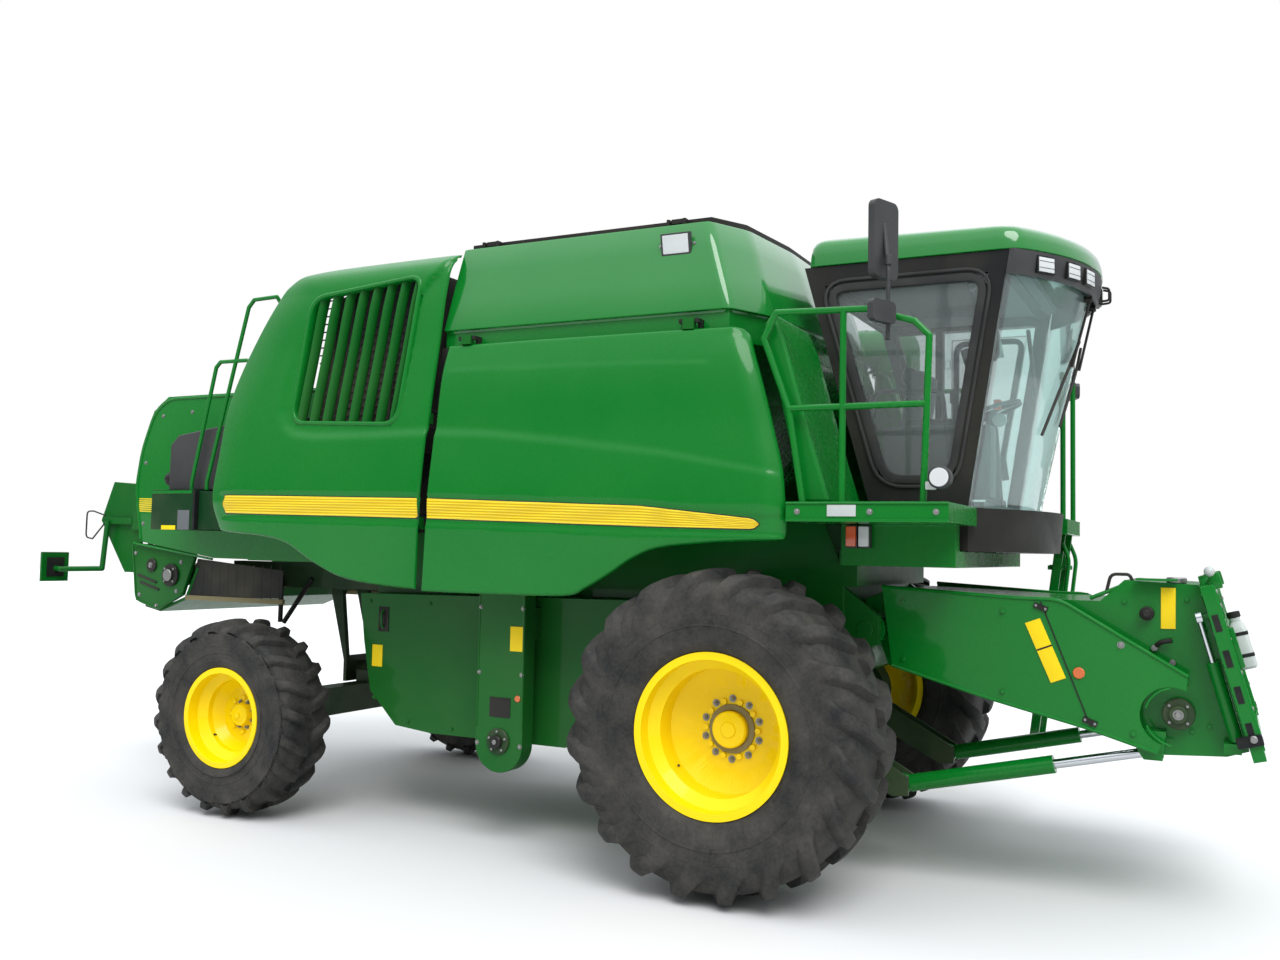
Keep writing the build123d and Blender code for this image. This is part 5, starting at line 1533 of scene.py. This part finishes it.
# Feeder house sides: folded flanges, seam clips, blank plates, drum bearing and reflector
DRUM_HUB = (2.159, 1.039)
bm = bmesh.new()
for side in (-1, 1):
    shield_top = [(0.635, 1.647), (1.388, 1.608), (1.589, 1.608), (2.206, 1.243)]
    side_tube(bm, side * 0.698, [(x, z - 0.004) for x, z in shield_top], 0.010, 0.06, 10)
    shield_low = [(2.061, 0.840), (1.726, 0.938), (1.183, 1.065), (0.696, 1.200)]
    side_tube(bm, side * 0.698, [(x, z + 0.004) for x, z in shield_low], 0.010, 0.06, 10)
    side_plate(
        bm, side * 0.7012, [(1.493, 1.590), (1.500, 1.590), (1.748, 0.950), (1.741, 0.950)], 0.003, 0.0005,
        1,
    )
    for x, z in ((1.497, 1.560), (1.742, 0.975)):
        box(bm, (x, side * 0.704, z), (0.075, 0.014, 0.030), 0.004, 1, Matrix.Rotation(0.37, 3, "Y"))
        for dx in (-0.024, 0.024):
            side_bolts(bm, side * 0.709, [(x + dx, z - dx * 0.38)], 0.008, 0.006, 3, False)
    side_plate(
        bm, side * 0.7015, [(1.416, 1.472), (1.493, 1.502), (1.624, 1.193), (1.548, 1.162)], 0.003, 0.0008,
        2,
    )
    side_plate(
        bm, side * 0.7035, [(1.476, 1.335), (1.552, 1.366), (1.556, 1.358), (1.480, 1.327)], 0.002, 0.0004,
        1,
    )
    boss(bm, 1.688, 1.224, side * 0.699, side * 0.710, 0.030, 28, 0.003, 4)
    side_bolts(bm, side * 0.700, [(1.893, 1.381)], 0.013, 0.010, 3)
    side_bolts(
        bm, side * 0.700, ((0.76, 1.56), (0.76, 1.24), (1.30, 1.53), (1.30, 1.10), (1.95, 0.93)), 0.013,
        0.010, 0,
    )
    boss(bm, *DRUM_HUB, side * 0.560, side * 0.640, 0.078, 40, 0.006, 5)
    boss(bm, *DRUM_HUB, side * 0.640, side * 0.668, 0.045, 32, 0.005, 5)
    side_bolts(bm, side * 0.668, [DRUM_HUB], 0.018, 0.014, 3)
    bolt_circle(bm, side * 0.640, *DRUM_HUB, 0.060, 4, math.pi / 4, 0.009, 0.008, 3)
    for first, last in ((100, 165), (200, 262)):
        arc = []
        for k in range(9):
            a = math.radians(first + (last - first) * k / 8)
            arc.append(
                (DRUM_HUB[0] - 0.009 + 0.146 * math.cos(a), DRUM_HUB[1] - 0.009 + 0.146 * math.sin(a))
            )
        side_tube(bm, side * 0.702, arc, 0.006, 0.01, 8)
make("feeder_trim", bm, "feeder", [GREEN, BLACK, LABEL, STEEL, REFLECTOR, GREEN_DARK], 35.0)

# On the feeder's nose: top plate, hand loop, lever, label plate, couplings and a hose elbow
bm = bmesh.new()
box(bm, (2.06, -0.60, 1.722), (0.20, 0.07, 0.012), 0.003)
side_tube(bm, -0.545, [(1.808, 1.640), (1.833, 1.745), (1.925, 1.745), (1.940, 1.710)], 0.009, 0.03, 10, 1)
side_bar(bm, -0.545, [(1.728, 1.612), (1.926, 1.700)], 0.011, 12)
side_plate(bm, -0.5625, [(2.078, 1.681), (2.148, 1.681), (2.146, 1.469), (2.076, 1.467)], 0.004, 0.001, 2)
boss(bm, 2.011, 1.544, -0.560, -0.612, 0.036, 28, 0.008, 1)
boss(bm, 2.011, 1.544, -0.612, -0.632, 0.022, 24, 0.006, 1)
cylinder(bm, (2.15, -0.50, 1.735), (2.15, -0.50, 1.702), 0.05, 24, 0.006, 3)
tube(bm, [(2.045, -0.565, 1.366), (2.075, -0.592, 1.400), (2.13, -0.600, 1.410)], 0.013, 0.04, 12, 1)
for x, z in ((2.045, 1.366), (2.131, 1.295)):
    boss(bm, x, z, -0.556, -0.585, 0.018, 6, 0.002, 3)
nose_bolts = ((1.78, 1.45), (1.90, 1.60), (2.20, 1.62), (2.20, 1.20), (2.30, 0.98), (2.22, 0.95))
for side in (-1, 1):
    side_bolts(bm, side * 0.560, nose_bolts, 0.012, 0.009)
make("feeder_nose_parts", bm, "feeder", [GREEN, BLACK, LABEL, STEEL], 40.0)


# Header frame: slots, corner blocks, folded edges and hooks on the leaning front face
LEAN_ANGLE = math.atan2(0.203, 0.743)
LEAN = Matrix.Rotation(-LEAN_ANGLE, 3, "Y")


def face_point(y, v, out):
    """Point on the feeder's leaning front face, v up it and out from it."""
    return Vector((
        st(2.480 - v * math.sin(LEAN_ANGLE) + out * math.cos(LEAN_ANGLE)), y,
        0.870 + v * math.cos(LEAN_ANGLE) + out * math.sin(LEAN_ANGLE),
    ))


bm = bmesh.new()
for side in (-1, 1):
    for v in (0.12, 0.30, 0.48, 0.66):
        # Black patches for the slots: painted shade in the openings.
        box(bm, face_point(side * 0.7605, v, 0.036), (0.030, 0.006, 0.085), 0.003, 1, LEAN)
    box(bm, face_point(side * 0.763, 0.075, 0.020), (0.12, 0.040, 0.055), 0.010, 1, LEAN)
    cylinder(
        bm, face_point(side * 0.763, 0.085, 0.04), face_point(side * 0.800, 0.085, 0.04), 0.018, 20, 0.004,
        2,
    )
    box(bm, face_point(side * 0.59, 0.862, 0.060), (0.10, 0.060, 0.085), 0.012, 0, LEAN)
    bar(bm, [face_point(side * 0.742, 0.02, 0.066), face_point(side * 0.742, 0.845, 0.066)], 0.010, 10)
    bar(bm, [face_point(side * 0.628, 0.06, 0.070), face_point(side * 0.628, 0.60, 0.070)], 0.008, 10)
    for v in (0.07, 0.22, 0.40, 0.57, 0.74, 0.81):
        hexbolt(bm, face_point(side * 0.69, v, 0.068), LEAN @ Vector((1, 0, 0)), 0.012, 0.010, 2)
bar(bm, [face_point(-0.74, 0.843, 0.035), face_point(0.74, 0.843, 0.035)], 0.012, 10)
bar(bm, [face_point(-0.60, 0.622, 0.070), face_point(0.60, 0.622, 0.070)], 0.009, 10)
for y in (-0.36, -0.12, 0.12, 0.36):
    box(bm, face_point(y, 0.73, 0.071), (0.010, 0.09, 0.14), 0.010, 0, LEAN)
tube(
    bm, [face_point(-0.655, 0.80, 0.005), face_point(-0.655, 0.86, 0.02), face_point(-0.655, 0.905, 0.06)],
    0.013, 0.03, 12,
)
ball(bm, face_point(-0.655, 0.915, 0.07), 0.026, 20, 12, 3)
make("header_frame_parts", bm, "header_frame_body", [GREEN, BLACK, STEEL, CANISTER], 40.0)

# Lower side wall: recessed handle, blank plates, elevator boss and drives
WALL = 1.0
bm = bmesh.new()
for side in (-1, 1):
    wall = side * WALL
    # Black plate for the handle's recess: painted shade there.
    box(bm, (-2.68, wall, 1.324), (0.085, 0.012, 0.165), 0.005, 1)
    tube(
        bm,
        [
            (-2.68, wall * 1.005, 1.385), (-2.68, wall * 1.028, 1.36), (-2.68, wall * 1.028, 1.29),
            (-2.68, wall * 1.005, 1.265),
        ],
        0.008, 0.02, 10,
    )
    box(bm, (-2.725, wall * 1.001, 1.078), (0.085, 0.008, 0.145), 0.002, 2)
    side_bolts(
        bm, wall,
        ((-2.80, 1.44), (-2.74, 0.80), (-2.45, 0.66), (-2.10, 0.64), (-1.86, 1.42), (-2.3, 1.44)), 0.011,
        0.008, 0,
    )
    face = side * 1.221
    box(bm, (-1.477, face, 1.265), (0.09, 0.006, 0.15), 0.002, 2)
    boss(bm, -1.59, 0.640, side * 1.215, side * 1.236, 0.080, 40, 0.006, 4)
    boss(bm, -1.59, 0.640, side * 1.236, side * 1.262, 0.040, 28, 0.006, 1)
    side_bolts(bm, side * 1.262, [(-1.59, 0.640)], 0.016, 0.010, 3, False)
    bolt_circle(bm, side * 1.236, -1.59, 0.640, 0.060, 5, math.radians(90), 0.009, 0.008, 3)
    box(bm, (-1.585, face, 0.845), (0.15, 0.008, 0.12), 0.012, 1)
    boss(bm, -1.458, 0.905, side * 1.219, side * 1.228, 0.020, 24, 0.003, 5)
    wall_bolts = [(x, z) for z in (0.62, 1.05, 1.45) for x in (-1.745, -1.435)]
    side_bolts(bm, side * 1.220, wall_bolts, 0.010, 0.008, 3)
    for x in (-1.752, -1.428):
        side_bar(bm, side * 1.218, [(x, 0.72), (x, 1.52)], 0.007, 8)
make("lower_wall_parts", bm, "chassis", [GREEN_LOW_SHADE, BLACK, LABEL, STEEL, GREEN_DARK, REFLECTOR], 40.0)

# Straw hood with rounded corners, and the boxes beside it
hood_side = rounded_polygon(
    [
        (-2.953, 1.690), (-2.953, 2.900), (-3.300, 2.930), (-4.888, 2.927), (-5.039, 2.821),
        (-5.161, 2.525), (-5.212, 2.226),
        (-5.131, 1.812), (-4.341, 1.699),
    ],
    0.10, 6,
)
bm = bmesh.new()
for side in (-1, 1):
    side_plate(bm, side * 0.9515, hood_side, 0.003, 0.0012)
    fold = [
        (-3.30, 2.912), (-4.87, 2.910), (-5.022, 2.808), (-5.143, 2.520), (-5.193, 2.226), (-5.118, 1.830),
    ]
    side_tube(bm, side * 0.952, fold, 0.012, 0.12, 10)
    side_bar(bm, side * 0.951, [(-5.197, 1.797), (-4.35, 1.690)], 0.009, 8)
    side_plate(
        bm, side * 0.958, [(-4.985, 2.155), (-4.978, 2.155), (-4.978, 2.025), (-4.985, 2.025)], 0.003,
        0.0005, 1,
    )
    side_bolts(
        bm, side * 0.953, ((-5.10, 2.42), (-5.10, 1.95), (-4.93, 2.78), (-4.62, 2.80)), 0.011, 0.008, 2,
    )
    box(bm, (-4.219, side * 1.3515, 1.970), (0.115, 0.006, 0.140), 0.004, 3)
    box(bm, (-4.368, side * 1.351, 1.915), (0.140, 0.004, 0.030), 0.001, 4)
    box(bm, (-4.118, side * 1.335, 2.040), (0.022, 0.045, 0.275), 0.004, 1)
    box(bm, (-4.345, side * 1.348, 2.168), (0.40, 0.012, 0.022), 0.004)
    tube(
        bm, [(-4.69, side * 0.955, 2.16), (-4.73, side * 1.02, 2.20), (-4.73, side * 1.02, 2.25)], 0.008,
        0.02, 10, 1,
    )
    ball(bm, (-4.73, side * 1.02, 2.285), 0.055, 24, 14, 1)
make("hood_parts", bm, "chassis", [GREEN, BLACK, STEEL, GREY_PLASTIC, LABEL], 40.0)

# Chopper: bearing, adjusting slots, curtain, bar, struts and the wire loop
bm = bmesh.new()
for side in (-1, 1):
    boss(bm, -4.80, 1.56, side * 0.925, side * 0.948, 0.085, 36, 0.006, 1)
    boss(bm, -4.80, 1.56, side * 0.948, side * 0.972, 0.045, 28, 0.004, 2)
    bolt_circle(bm, side * 0.948, -4.80, 1.56, 0.065, 4, math.pi / 4, 0.010, 0.008, 2)
    boss(bm, -5.010, 1.631, side * 0.925, side * 0.944, 0.050, 32, 0.005, 1)
    side_bolts(bm, side * 0.944, [(-5.010, 1.631)], 0.016, 0.010, 2)
    # Black bars for the adjusting slots: painted shade in the openings.
    for k in range(2):
        side_bar(
            bm, side * 0.9265,
            [(-5.165 + 0.03 * k, 1.555 - 0.055 * k), (-4.955 + 0.03 * k, 1.500 - 0.055 * k)], 0.009, 10, 1,
        )
    side_bolts(
        bm, side * 0.925, ((-4.70, 1.66), (-4.74, 1.44), (-5.14, 1.40), (-5.20, 1.72), (-4.95, 1.32)),
        0.012, 0.009, 2,
    )
    side_tube(
        bm, side * 0.926,
        [(-5.236, 1.79), (-5.175, 1.362), (-4.931, 1.296), (-4.675, 1.418), (-4.565, 1.70)], 0.008, 0.05,
        8,
    )
    side_plate(
        bm, side * 0.890, [(-4.56, 1.690), (-3.70, 1.620), (-3.70, 1.420), (-4.64, 1.400)], 0.006, 0.001,
        3,
    )
    for k in range(11):
        x = -4.58 + 0.085 * k
        side_bar(bm, side * 0.893, [(x, 1.655), (x, 1.412)], 0.005, 6, 3)
    box(bm, (-4.18, side * 0.890, 1.395), (0.98, 0.030, 0.035), 0.004, 4)
    for strut in ([(-3.895, 1.566), (-3.898, 1.235)], [(-3.60, 1.566), (-3.862, 1.235)]):
        side_bar(bm, side * 0.70, strut, 0.018, 12, 1)
    loop = [(-5.70, 2.045), (-5.778, 2.045), (-5.780, 1.835), (-5.70, 1.825)]
    side_tube(bm, side * 0.93, loop, 0.006, 0.04, 8, 1)
    side_bar(bm, side * 0.93, [(-5.70, 2.045), (-5.56, 2.01)], 0.006, 8, 1)
    side_bar(bm, side * 0.93, [(-5.70, 1.825), (-5.56, 1.955)], 0.006, 8, 1)
make("chopper_parts", bm, "chassis", [GREEN_LOW_SHADE, BLACK, STEEL, DARK_METAL, GREY_HUB], 40.0)

# Rear lamps on their plates
bm = bmesh.new()
for side in (-1, 1):
    for dy, index in ((-0.055, 1), (0.035, 2)):
        box(bm, (-5.7826, side * 1.215 + side * dy, 1.605), (0.0142, 0.082, 0.115), 0.004, index)
    box(bm, (-5.743, side * 1.215, 1.601), (0.006, 0.150, 0.150), 0.003)
    bar(bm, [(-5.755, side * 1.1, 1.71), (-5.755, side * 1.33, 1.71)], 0.005, 8)
make("rear_lamps", bm, "chassis", [BLACK, REFLECTOR, LAMP_ORANGE], 40.0)


# Driver's seat: crowned cushions with sewn channels, on their pedestal

def cushion(name, size, centre, tilt, channels):
    """Stuffed pad: rounded box with a crown, sides drawn in and sewn channels on its face."""
    hx, hy, hz = (s / 2 for s in size)
    radius = hz * 0.85
    bm = bmesh.new()
    bmesh.ops.create_cube(bm, size=2.0)
    bmesh.ops.subdivide_edges(bm, edges=bm.edges, cuts=39, use_grid_fill=True)
    turn = Matrix.Rotation(tilt, 3, "Y")
    for vert in bm.verts:
        cx, cy, cz = vert.co
        inner = Vector((cx * (hx - radius), cy * (hy - radius), cz * (hz - radius)))
        way = Vector((cx ** 5, cy ** 5, cz ** 5))
        p = inner + way.normalized() * radius
        p.z += 0.010 * (1 - cx * cx) * (1 - cy * cy) * (1 if cz > 0 else -1)
        p.x *= 1 - 0.012 * (1 - cy * cy)
        if cz > 0.3:
            for channel in channels:
                p.z -= 0.009 * math.exp(-((p.y - channel * hy) / 0.009) ** 2) * step(cz, 0.3, 1.0)
        vert.co = turn @ p + Vector(centre)
    piece = make(name, bm, "chassis", CLOTH, 60.0, ("seat",))


cushion("seat_cushion", (0.37, 0.47, 0.118), (st(0.812), 0, 2.390), 0.0, (-0.55, -0.18, 0.18, 0.55))
cushion("seat_back", (0.50, 0.44, 0.112), (st(0.668), 0, 2.715), -math.radians(80.0), (-0.5, 0.5))
cushion("seat_head", (0.12, 0.24, 0.085), (st(0.628), 0, 2.937), -math.radians(80.0), ())
bm = bmesh.new()
box(bm, (0.77, 0, 2.137), (0.30, 0.36, 0.022), 0.006)
for k in range(6):
    loops = []
    z = 2.150 + 0.028 * k
    for rise, half in ((0.0, 0.120), (0.007, 0.132), (0.021, 0.132), (0.028, 0.120)):
        outline = rounded_polygon(rectangle(half * 0.62, half, 0.77), 0.03, 3)
        loops.append([Vector((st(x), y, z + rise)) for x, y in outline])
    loft(bm, loops)
box(bm, (0.80, 0, 2.326), (0.34, 0.40, 0.018), 0.006)
for side in (-1, 1):
    bar(bm, [(0.66, side * 0.245, 2.50), (0.665, side * 0.262, 2.60)], 0.014, 12)
    box(bm, (0.79, side * 0.268, 2.615), (0.30, 0.055, 0.040), 0.016, 1)
make("seat_base", bm, "chassis", [BLACK_PLASTIC, GREY_PLASTIC], 40.0, ("seat",))

# Cab door: frame and pane from the door's own solids
door_mesh = bmesh.new()
door_mesh.from_mesh(nodes["cab_door"].data)
door_mesh.transform(nodes["cab_door"].matrix_world)
islands = []
seen = set()
for vert in door_mesh.verts:
    if vert in seen:
        continue
    stack, island = [vert], []
    seen.add(vert)
    while stack:
        current = stack.pop()
        island.append(current)
        for edge in current.link_edges:
            other = edge.other_vert(current)
            if other not in seen:
                seen.add(other)
                stack.append(other)
    islands.append(island)
pane_verts = set()
for island in islands:
    ys = [v.co.y for v in island]
    if max(ys) - min(ys) < 0.012:
        pane_verts.update(v.index for v in island)
if pane_verts:
    for name, keep_pane, material, slot in (
        ("door_frame", False, BLACK, "black_metal"), ("door_pane", True, GLASS, "glass"),
    ):
        part = door_mesh.copy()
        part.verts.ensure_lookup_table()
        drop = [v for v in part.verts if (v.index in pane_verts) != keep_pane]
        bmesh.ops.delete(part, geom=drop, context="VERTS")
        make(name, part, "door", material, 30.0, ("cab_door",))
door_mesh.free()
bm = bmesh.new()
box(bm, (1.045, 0.862, 2.42), (0.045, 0.022, 0.16), 0.008, 0, Matrix.Rotation(-0.17, 3, "Y"))
tube(
    bm, [(1.040, 0.865, 2.48), (1.048, 0.892, 2.46), (1.030, 0.892, 2.38), (1.020, 0.865, 2.36)], 0.009,
    0.02, 10,
)
tube(
    bm, [(0.70, 0.862, 2.26), (0.70, 0.895, 2.28), (0.70, 0.895, 2.90), (0.70, 0.862, 2.92)], 0.011, 0.03,
    12,
)
make("door_handle", bm, "door", BLACK_PLASTIC, 40.0)

# Mirror glasses on the heads' rear faces
MIRROR_REACH = 1.5296
bm = bmesh.new()
for side in (-1, 1):
    x = 0.880 if side < 0 else 1.410
    normal = Vector((-0.9, -0.35 * side, 0)).normalized()
    across = Vector((-normal.y, normal.x, 0))
    for origin, wide, high, corner, deep in (
        ((st(x - 0.018), side * (MIRROR_REACH - 0.030), 3.420), 0.172, 0.368, 0.035, 0.0405),
        ((st(x + 0.010), side * (MIRROR_REACH + 0.100), 3.026), 0.164, 0.086, 0.025, 0.0355),
    ):
        rect = rounded_polygon(rectangle(wide / 2, high / 2), corner, 5)
        plate(bm, rect, Vector(origin) + normal * deep, across, (0, 0, 1), 0.003, 0.001)
    for z, high in ((3.02, 0.06), (3.28, 0.05)):
        cylinder(bm, (x, side * MIRROR_REACH, z), (x, side * MIRROR_REACH, z + high), 0.019, 20, 0.003, 1)
make("mirror_glasses", bm, "chassis", [MIRROR, BLACK_PLASTIC], 40.0)

# Unloading auger: joint bands, bolted elbow flange, rubber spout lip and its work light
AUGER_Y, AUGER_Z = 1.288, 3.345
AUGER_FOOT, SPOUT = 0.200, -4.24
X_WAY, Y_WAY, Z_WAY = Vector((1, 0, 0)), Vector((0, 1, 0)), Vector((0, 0, 1))
bm = bmesh.new()
for x in (-0.05, -1.45, -2.95, -4.38):
    loops = []
    for dx, r in ((-0.030, 0.1652), (-0.028, 0.1700), (0.028, 0.1700), (0.030, 0.1652)):
        loops.append(ring(place((x + dx, AUGER_Y, AUGER_Z)), Y_WAY, Z_WAY, r, 64))
    loft(bm, loops)
    for k in range(2):
        hexbolt(bm, (x, AUGER_Y + 0.168, AUGER_Z - 0.03 + 0.06 * k), (0, 1, 0), 0.010, 0.008, 1)
loops = []
for z, r in ((3.146, 0.1652), (3.147, 0.186), (3.162, 0.186), (3.163, 0.1652)):
    loops.append(ring(place((AUGER_FOOT, AUGER_Y, z)), X_WAY, Y_WAY, r, 64))
loft(bm, loops)
for k in range(12):
    a = 2 * math.pi * k / 12
    at = (AUGER_FOOT + 0.177 * math.cos(a), AUGER_Y + 0.177 * math.sin(a), 3.162)
    hexbolt(bm, at, Z_WAY, 0.009, 0.008, 1, False)
loops = []
for z, r in ((3.075, 0.1505), (3.075, 0.1575), (2.998, 0.1625), (2.998, 0.1555), (3.074, 0.1503)):
    loops.append(ring(place((SPOUT, AUGER_Y, z)), X_WAY, Y_WAY, r, 64))
loft(bm, loops, cap=False, index=2)
for r, dx in ((0.150, 0.001), (0.105, 0.004), (0.060, 0.006)):
    tube(
        bm,
        [
            Vector((st(-4.400) - dx, AUGER_Y + r * math.cos(a), AUGER_Z + r * math.sin(a)))
            for a in (2 * math.pi * k / 32 for k in range(33))
        ],
        0.004, 0.005, 6,
    )
box(bm, (-4.05, AUGER_Y, AUGER_Z + 0.182), (0.10, 0.06, 0.036), 0.006, 3)
make("auger_fittings", bm, "auger", [GREEN, STEEL, SEAL, BLACK_PLASTIC], 35.0)

# Boarding ladder: gripping treads and two hand rails
bm = bmesh.new()
for i in range(5):
    z = 0.560 + i * 0.300
    x = 1.180 + (z - 0.520) * 0.190 / 1.465
    for k in range(11):
        y = 1.205 + k * 0.031
        box(bm, (x, y, z + 0.0165), (0.104, 0.007, 0.006), 0.001)
for y in (1.155, 1.565):
    side_tube(bm, y, [(1.245, 0.95), (1.330, 1.00), (1.425, 1.82), (1.380, 1.93)], 0.014, 0.06, 12)
make("ladder_parts", bm, "chassis", GREEN, 40.0)

# White canister strapped to the header frame's front
bm = bmesh.new()
loops = []
for rise, half, deep in (
    (0.0, 0.055, 0.030), (0.012, 0.066, 0.040), (0.200, 0.066, 0.040), (0.228, 0.050, 0.032),
    (0.240, 0.026, 0.026), (0.262, 0.026, 0.026),
):
    section = rounded_polygon(rectangle(half, deep), 0.022, 4)
    loops.append([face_point(-0.530 + a, 0.40 + rise, 0.116 + b) for a, b in section])
loft(bm, loops)
cylinder(bm, face_point(-0.530, 0.660, 0.116), face_point(-0.530, 0.692, 0.116), 0.032, 24, 0.004, 1)
for v in (0.46, 0.57):
    section = rounded_polygon(rectangle(0.0675, 0.0415), 0.023, 4)
    loops = [[face_point(-0.530 + a, v + dv, 0.116 + b) for a, b in section] for dv in (0.0, 0.018)]
    loft(bm, loops, index=1)
box(bm, face_point(-0.640, 0.52, 0.085), (0.030, 0.12, 0.20), 0.004, 2, LEAN)
make("header_canister", bm, "header_frame_body", [CANISTER, BLACK, GREEN], 40.0)

# Engine deck: cleaner housing, charge pipe and rocker cover on the engine block
engine_points = [nodes["engine"].matrix_world @ v.co for v in nodes["engine"].data.vertices]
engine_low = Vector([min(p[i] for p in engine_points) for i in range(3)])
engine_high = Vector([max(p[i] for p in engine_points) for i in range(3)])
engine_mid = (engine_low + engine_high) / 2
bm = bmesh.new()
for k in range(6):
    y = engine_low.y + (engine_high.y - engine_low.y) * (k + 0.5) / 6
    box(bm, Vector((engine_mid.x, y, engine_high.z + 0.018)), (0.20, 0.11, 0.036), 0.012)
    hexbolt(bm, Vector((engine_mid.x, y, engine_high.z + 0.036)), (0, 0, 1), 0.012, 0.009, 1)
bar(
    bm,
    [
        Vector((engine_mid.x - 0.20, engine_low.y + 0.06, engine_high.z + 0.035)),
        Vector((engine_mid.x - 0.20, engine_high.y - 0.06, engine_high.z + 0.035)),
    ],
    0.034, 20, 2,
)
for k in range(6):
    y = engine_low.y + (engine_high.y - engine_low.y) * (k + 0.5) / 6
    bar(
        bm,
        [
            Vector((engine_mid.x - 0.08, y, engine_high.z + 0.008)),
            Vector((engine_mid.x - 0.20, y, engine_high.z + 0.030)),
        ],
        0.010, 10, 1,
    )
make("engine_parts", bm, "chassis", [BLACK_PLASTIC, STEEL, DARK_METAL], 40.0)

# Feeder conveyor: three chain strands round the drum and an idler, with slats across them
DRUM = (2.130, 1.030)
IDLER = (1.660, 1.055)
DRUM_R = 0.118
IDLER_R = 0.050
BELT_MIDDLE = (1.9, 1.04)


def belt_points(grow):
    """Closed loop round drum and idler, as stations and heights."""
    way = math.atan2(IDLER[1] - DRUM[1], IDLER[0] - DRUM[0])
    spread_angle = math.acos((DRUM_R - IDLER_R) / math.hypot(IDLER[0] - DRUM[0], IDLER[1] - DRUM[1]))
    points = []
    for centre, radius, start, end in (
        (DRUM, DRUM_R, way + spread_angle, way + 2 * math.pi - spread_angle),
        (IDLER, IDLER_R, way - spread_angle, way + spread_angle),
    ):
        for k in range(13):
            a = start + (end - start) * k / 12
            points.append(
                (centre[0] + (radius + grow) * math.cos(a), centre[1] + (radius + grow) * math.sin(a))
            )
    return points


bm = bmesh.new()
for y in (-0.43, 0.0, 0.43):
    for grow, half in ((0.0, 0.012), (0.012, 0.018)):
        loops = []
        for x, z in belt_points(grow):
            inner, outer = Vector((st(x), y - half, z)), Vector((st(x), y + half, z))
            out = Vector((x - BELT_MIDDLE[0], 0, z - BELT_MIDDLE[1])).normalized() * 0.008
            loops.append([inner, outer, outer + out, inner + out])
        loft(bm, loops)
track = belt_points(0.016)
for x, z in spaced(track + track[:1], [k / 10 for k in range(10)]):
    out = Vector((x - BELT_MIDDLE[0], 0, (z - BELT_MIDDLE[1]) * 2.5)).normalized()
    turn = Matrix.Rotation(-math.atan2(out.z, out.x), 3, "Y")
    centre = Vector((st(x), 0, z)) + out * 0.010
    box(bm, centre, (0.006, 0.98, 0.042), 0.0015, 1, turn)
    box(bm, centre + out * 0.010 + turn @ Vector((0, 0, 0.018)), (0.024, 0.98, 0.005), 0.001, 1, turn)
make("feeder_conveyor", bm, "feeder", [DARK_METAL, STEEL], 40.0)

# Rounded edges on the carried-over nodes, wider on the big boxes
WIDE_EDGES = {
    "grain_tank": 0.022, "straw_hood": 0.022, "cab_fairings": 0.022, "cab_roof": 0.022,
    "side_tanks": 0.012, "rear_boxes": 0.012, "seat": 0.012,
}
for name in nodes:
    if "tyre" not in name and "_panel_" not in name:
        soften(name, WIDE_EDGES.get(name, 0.004))
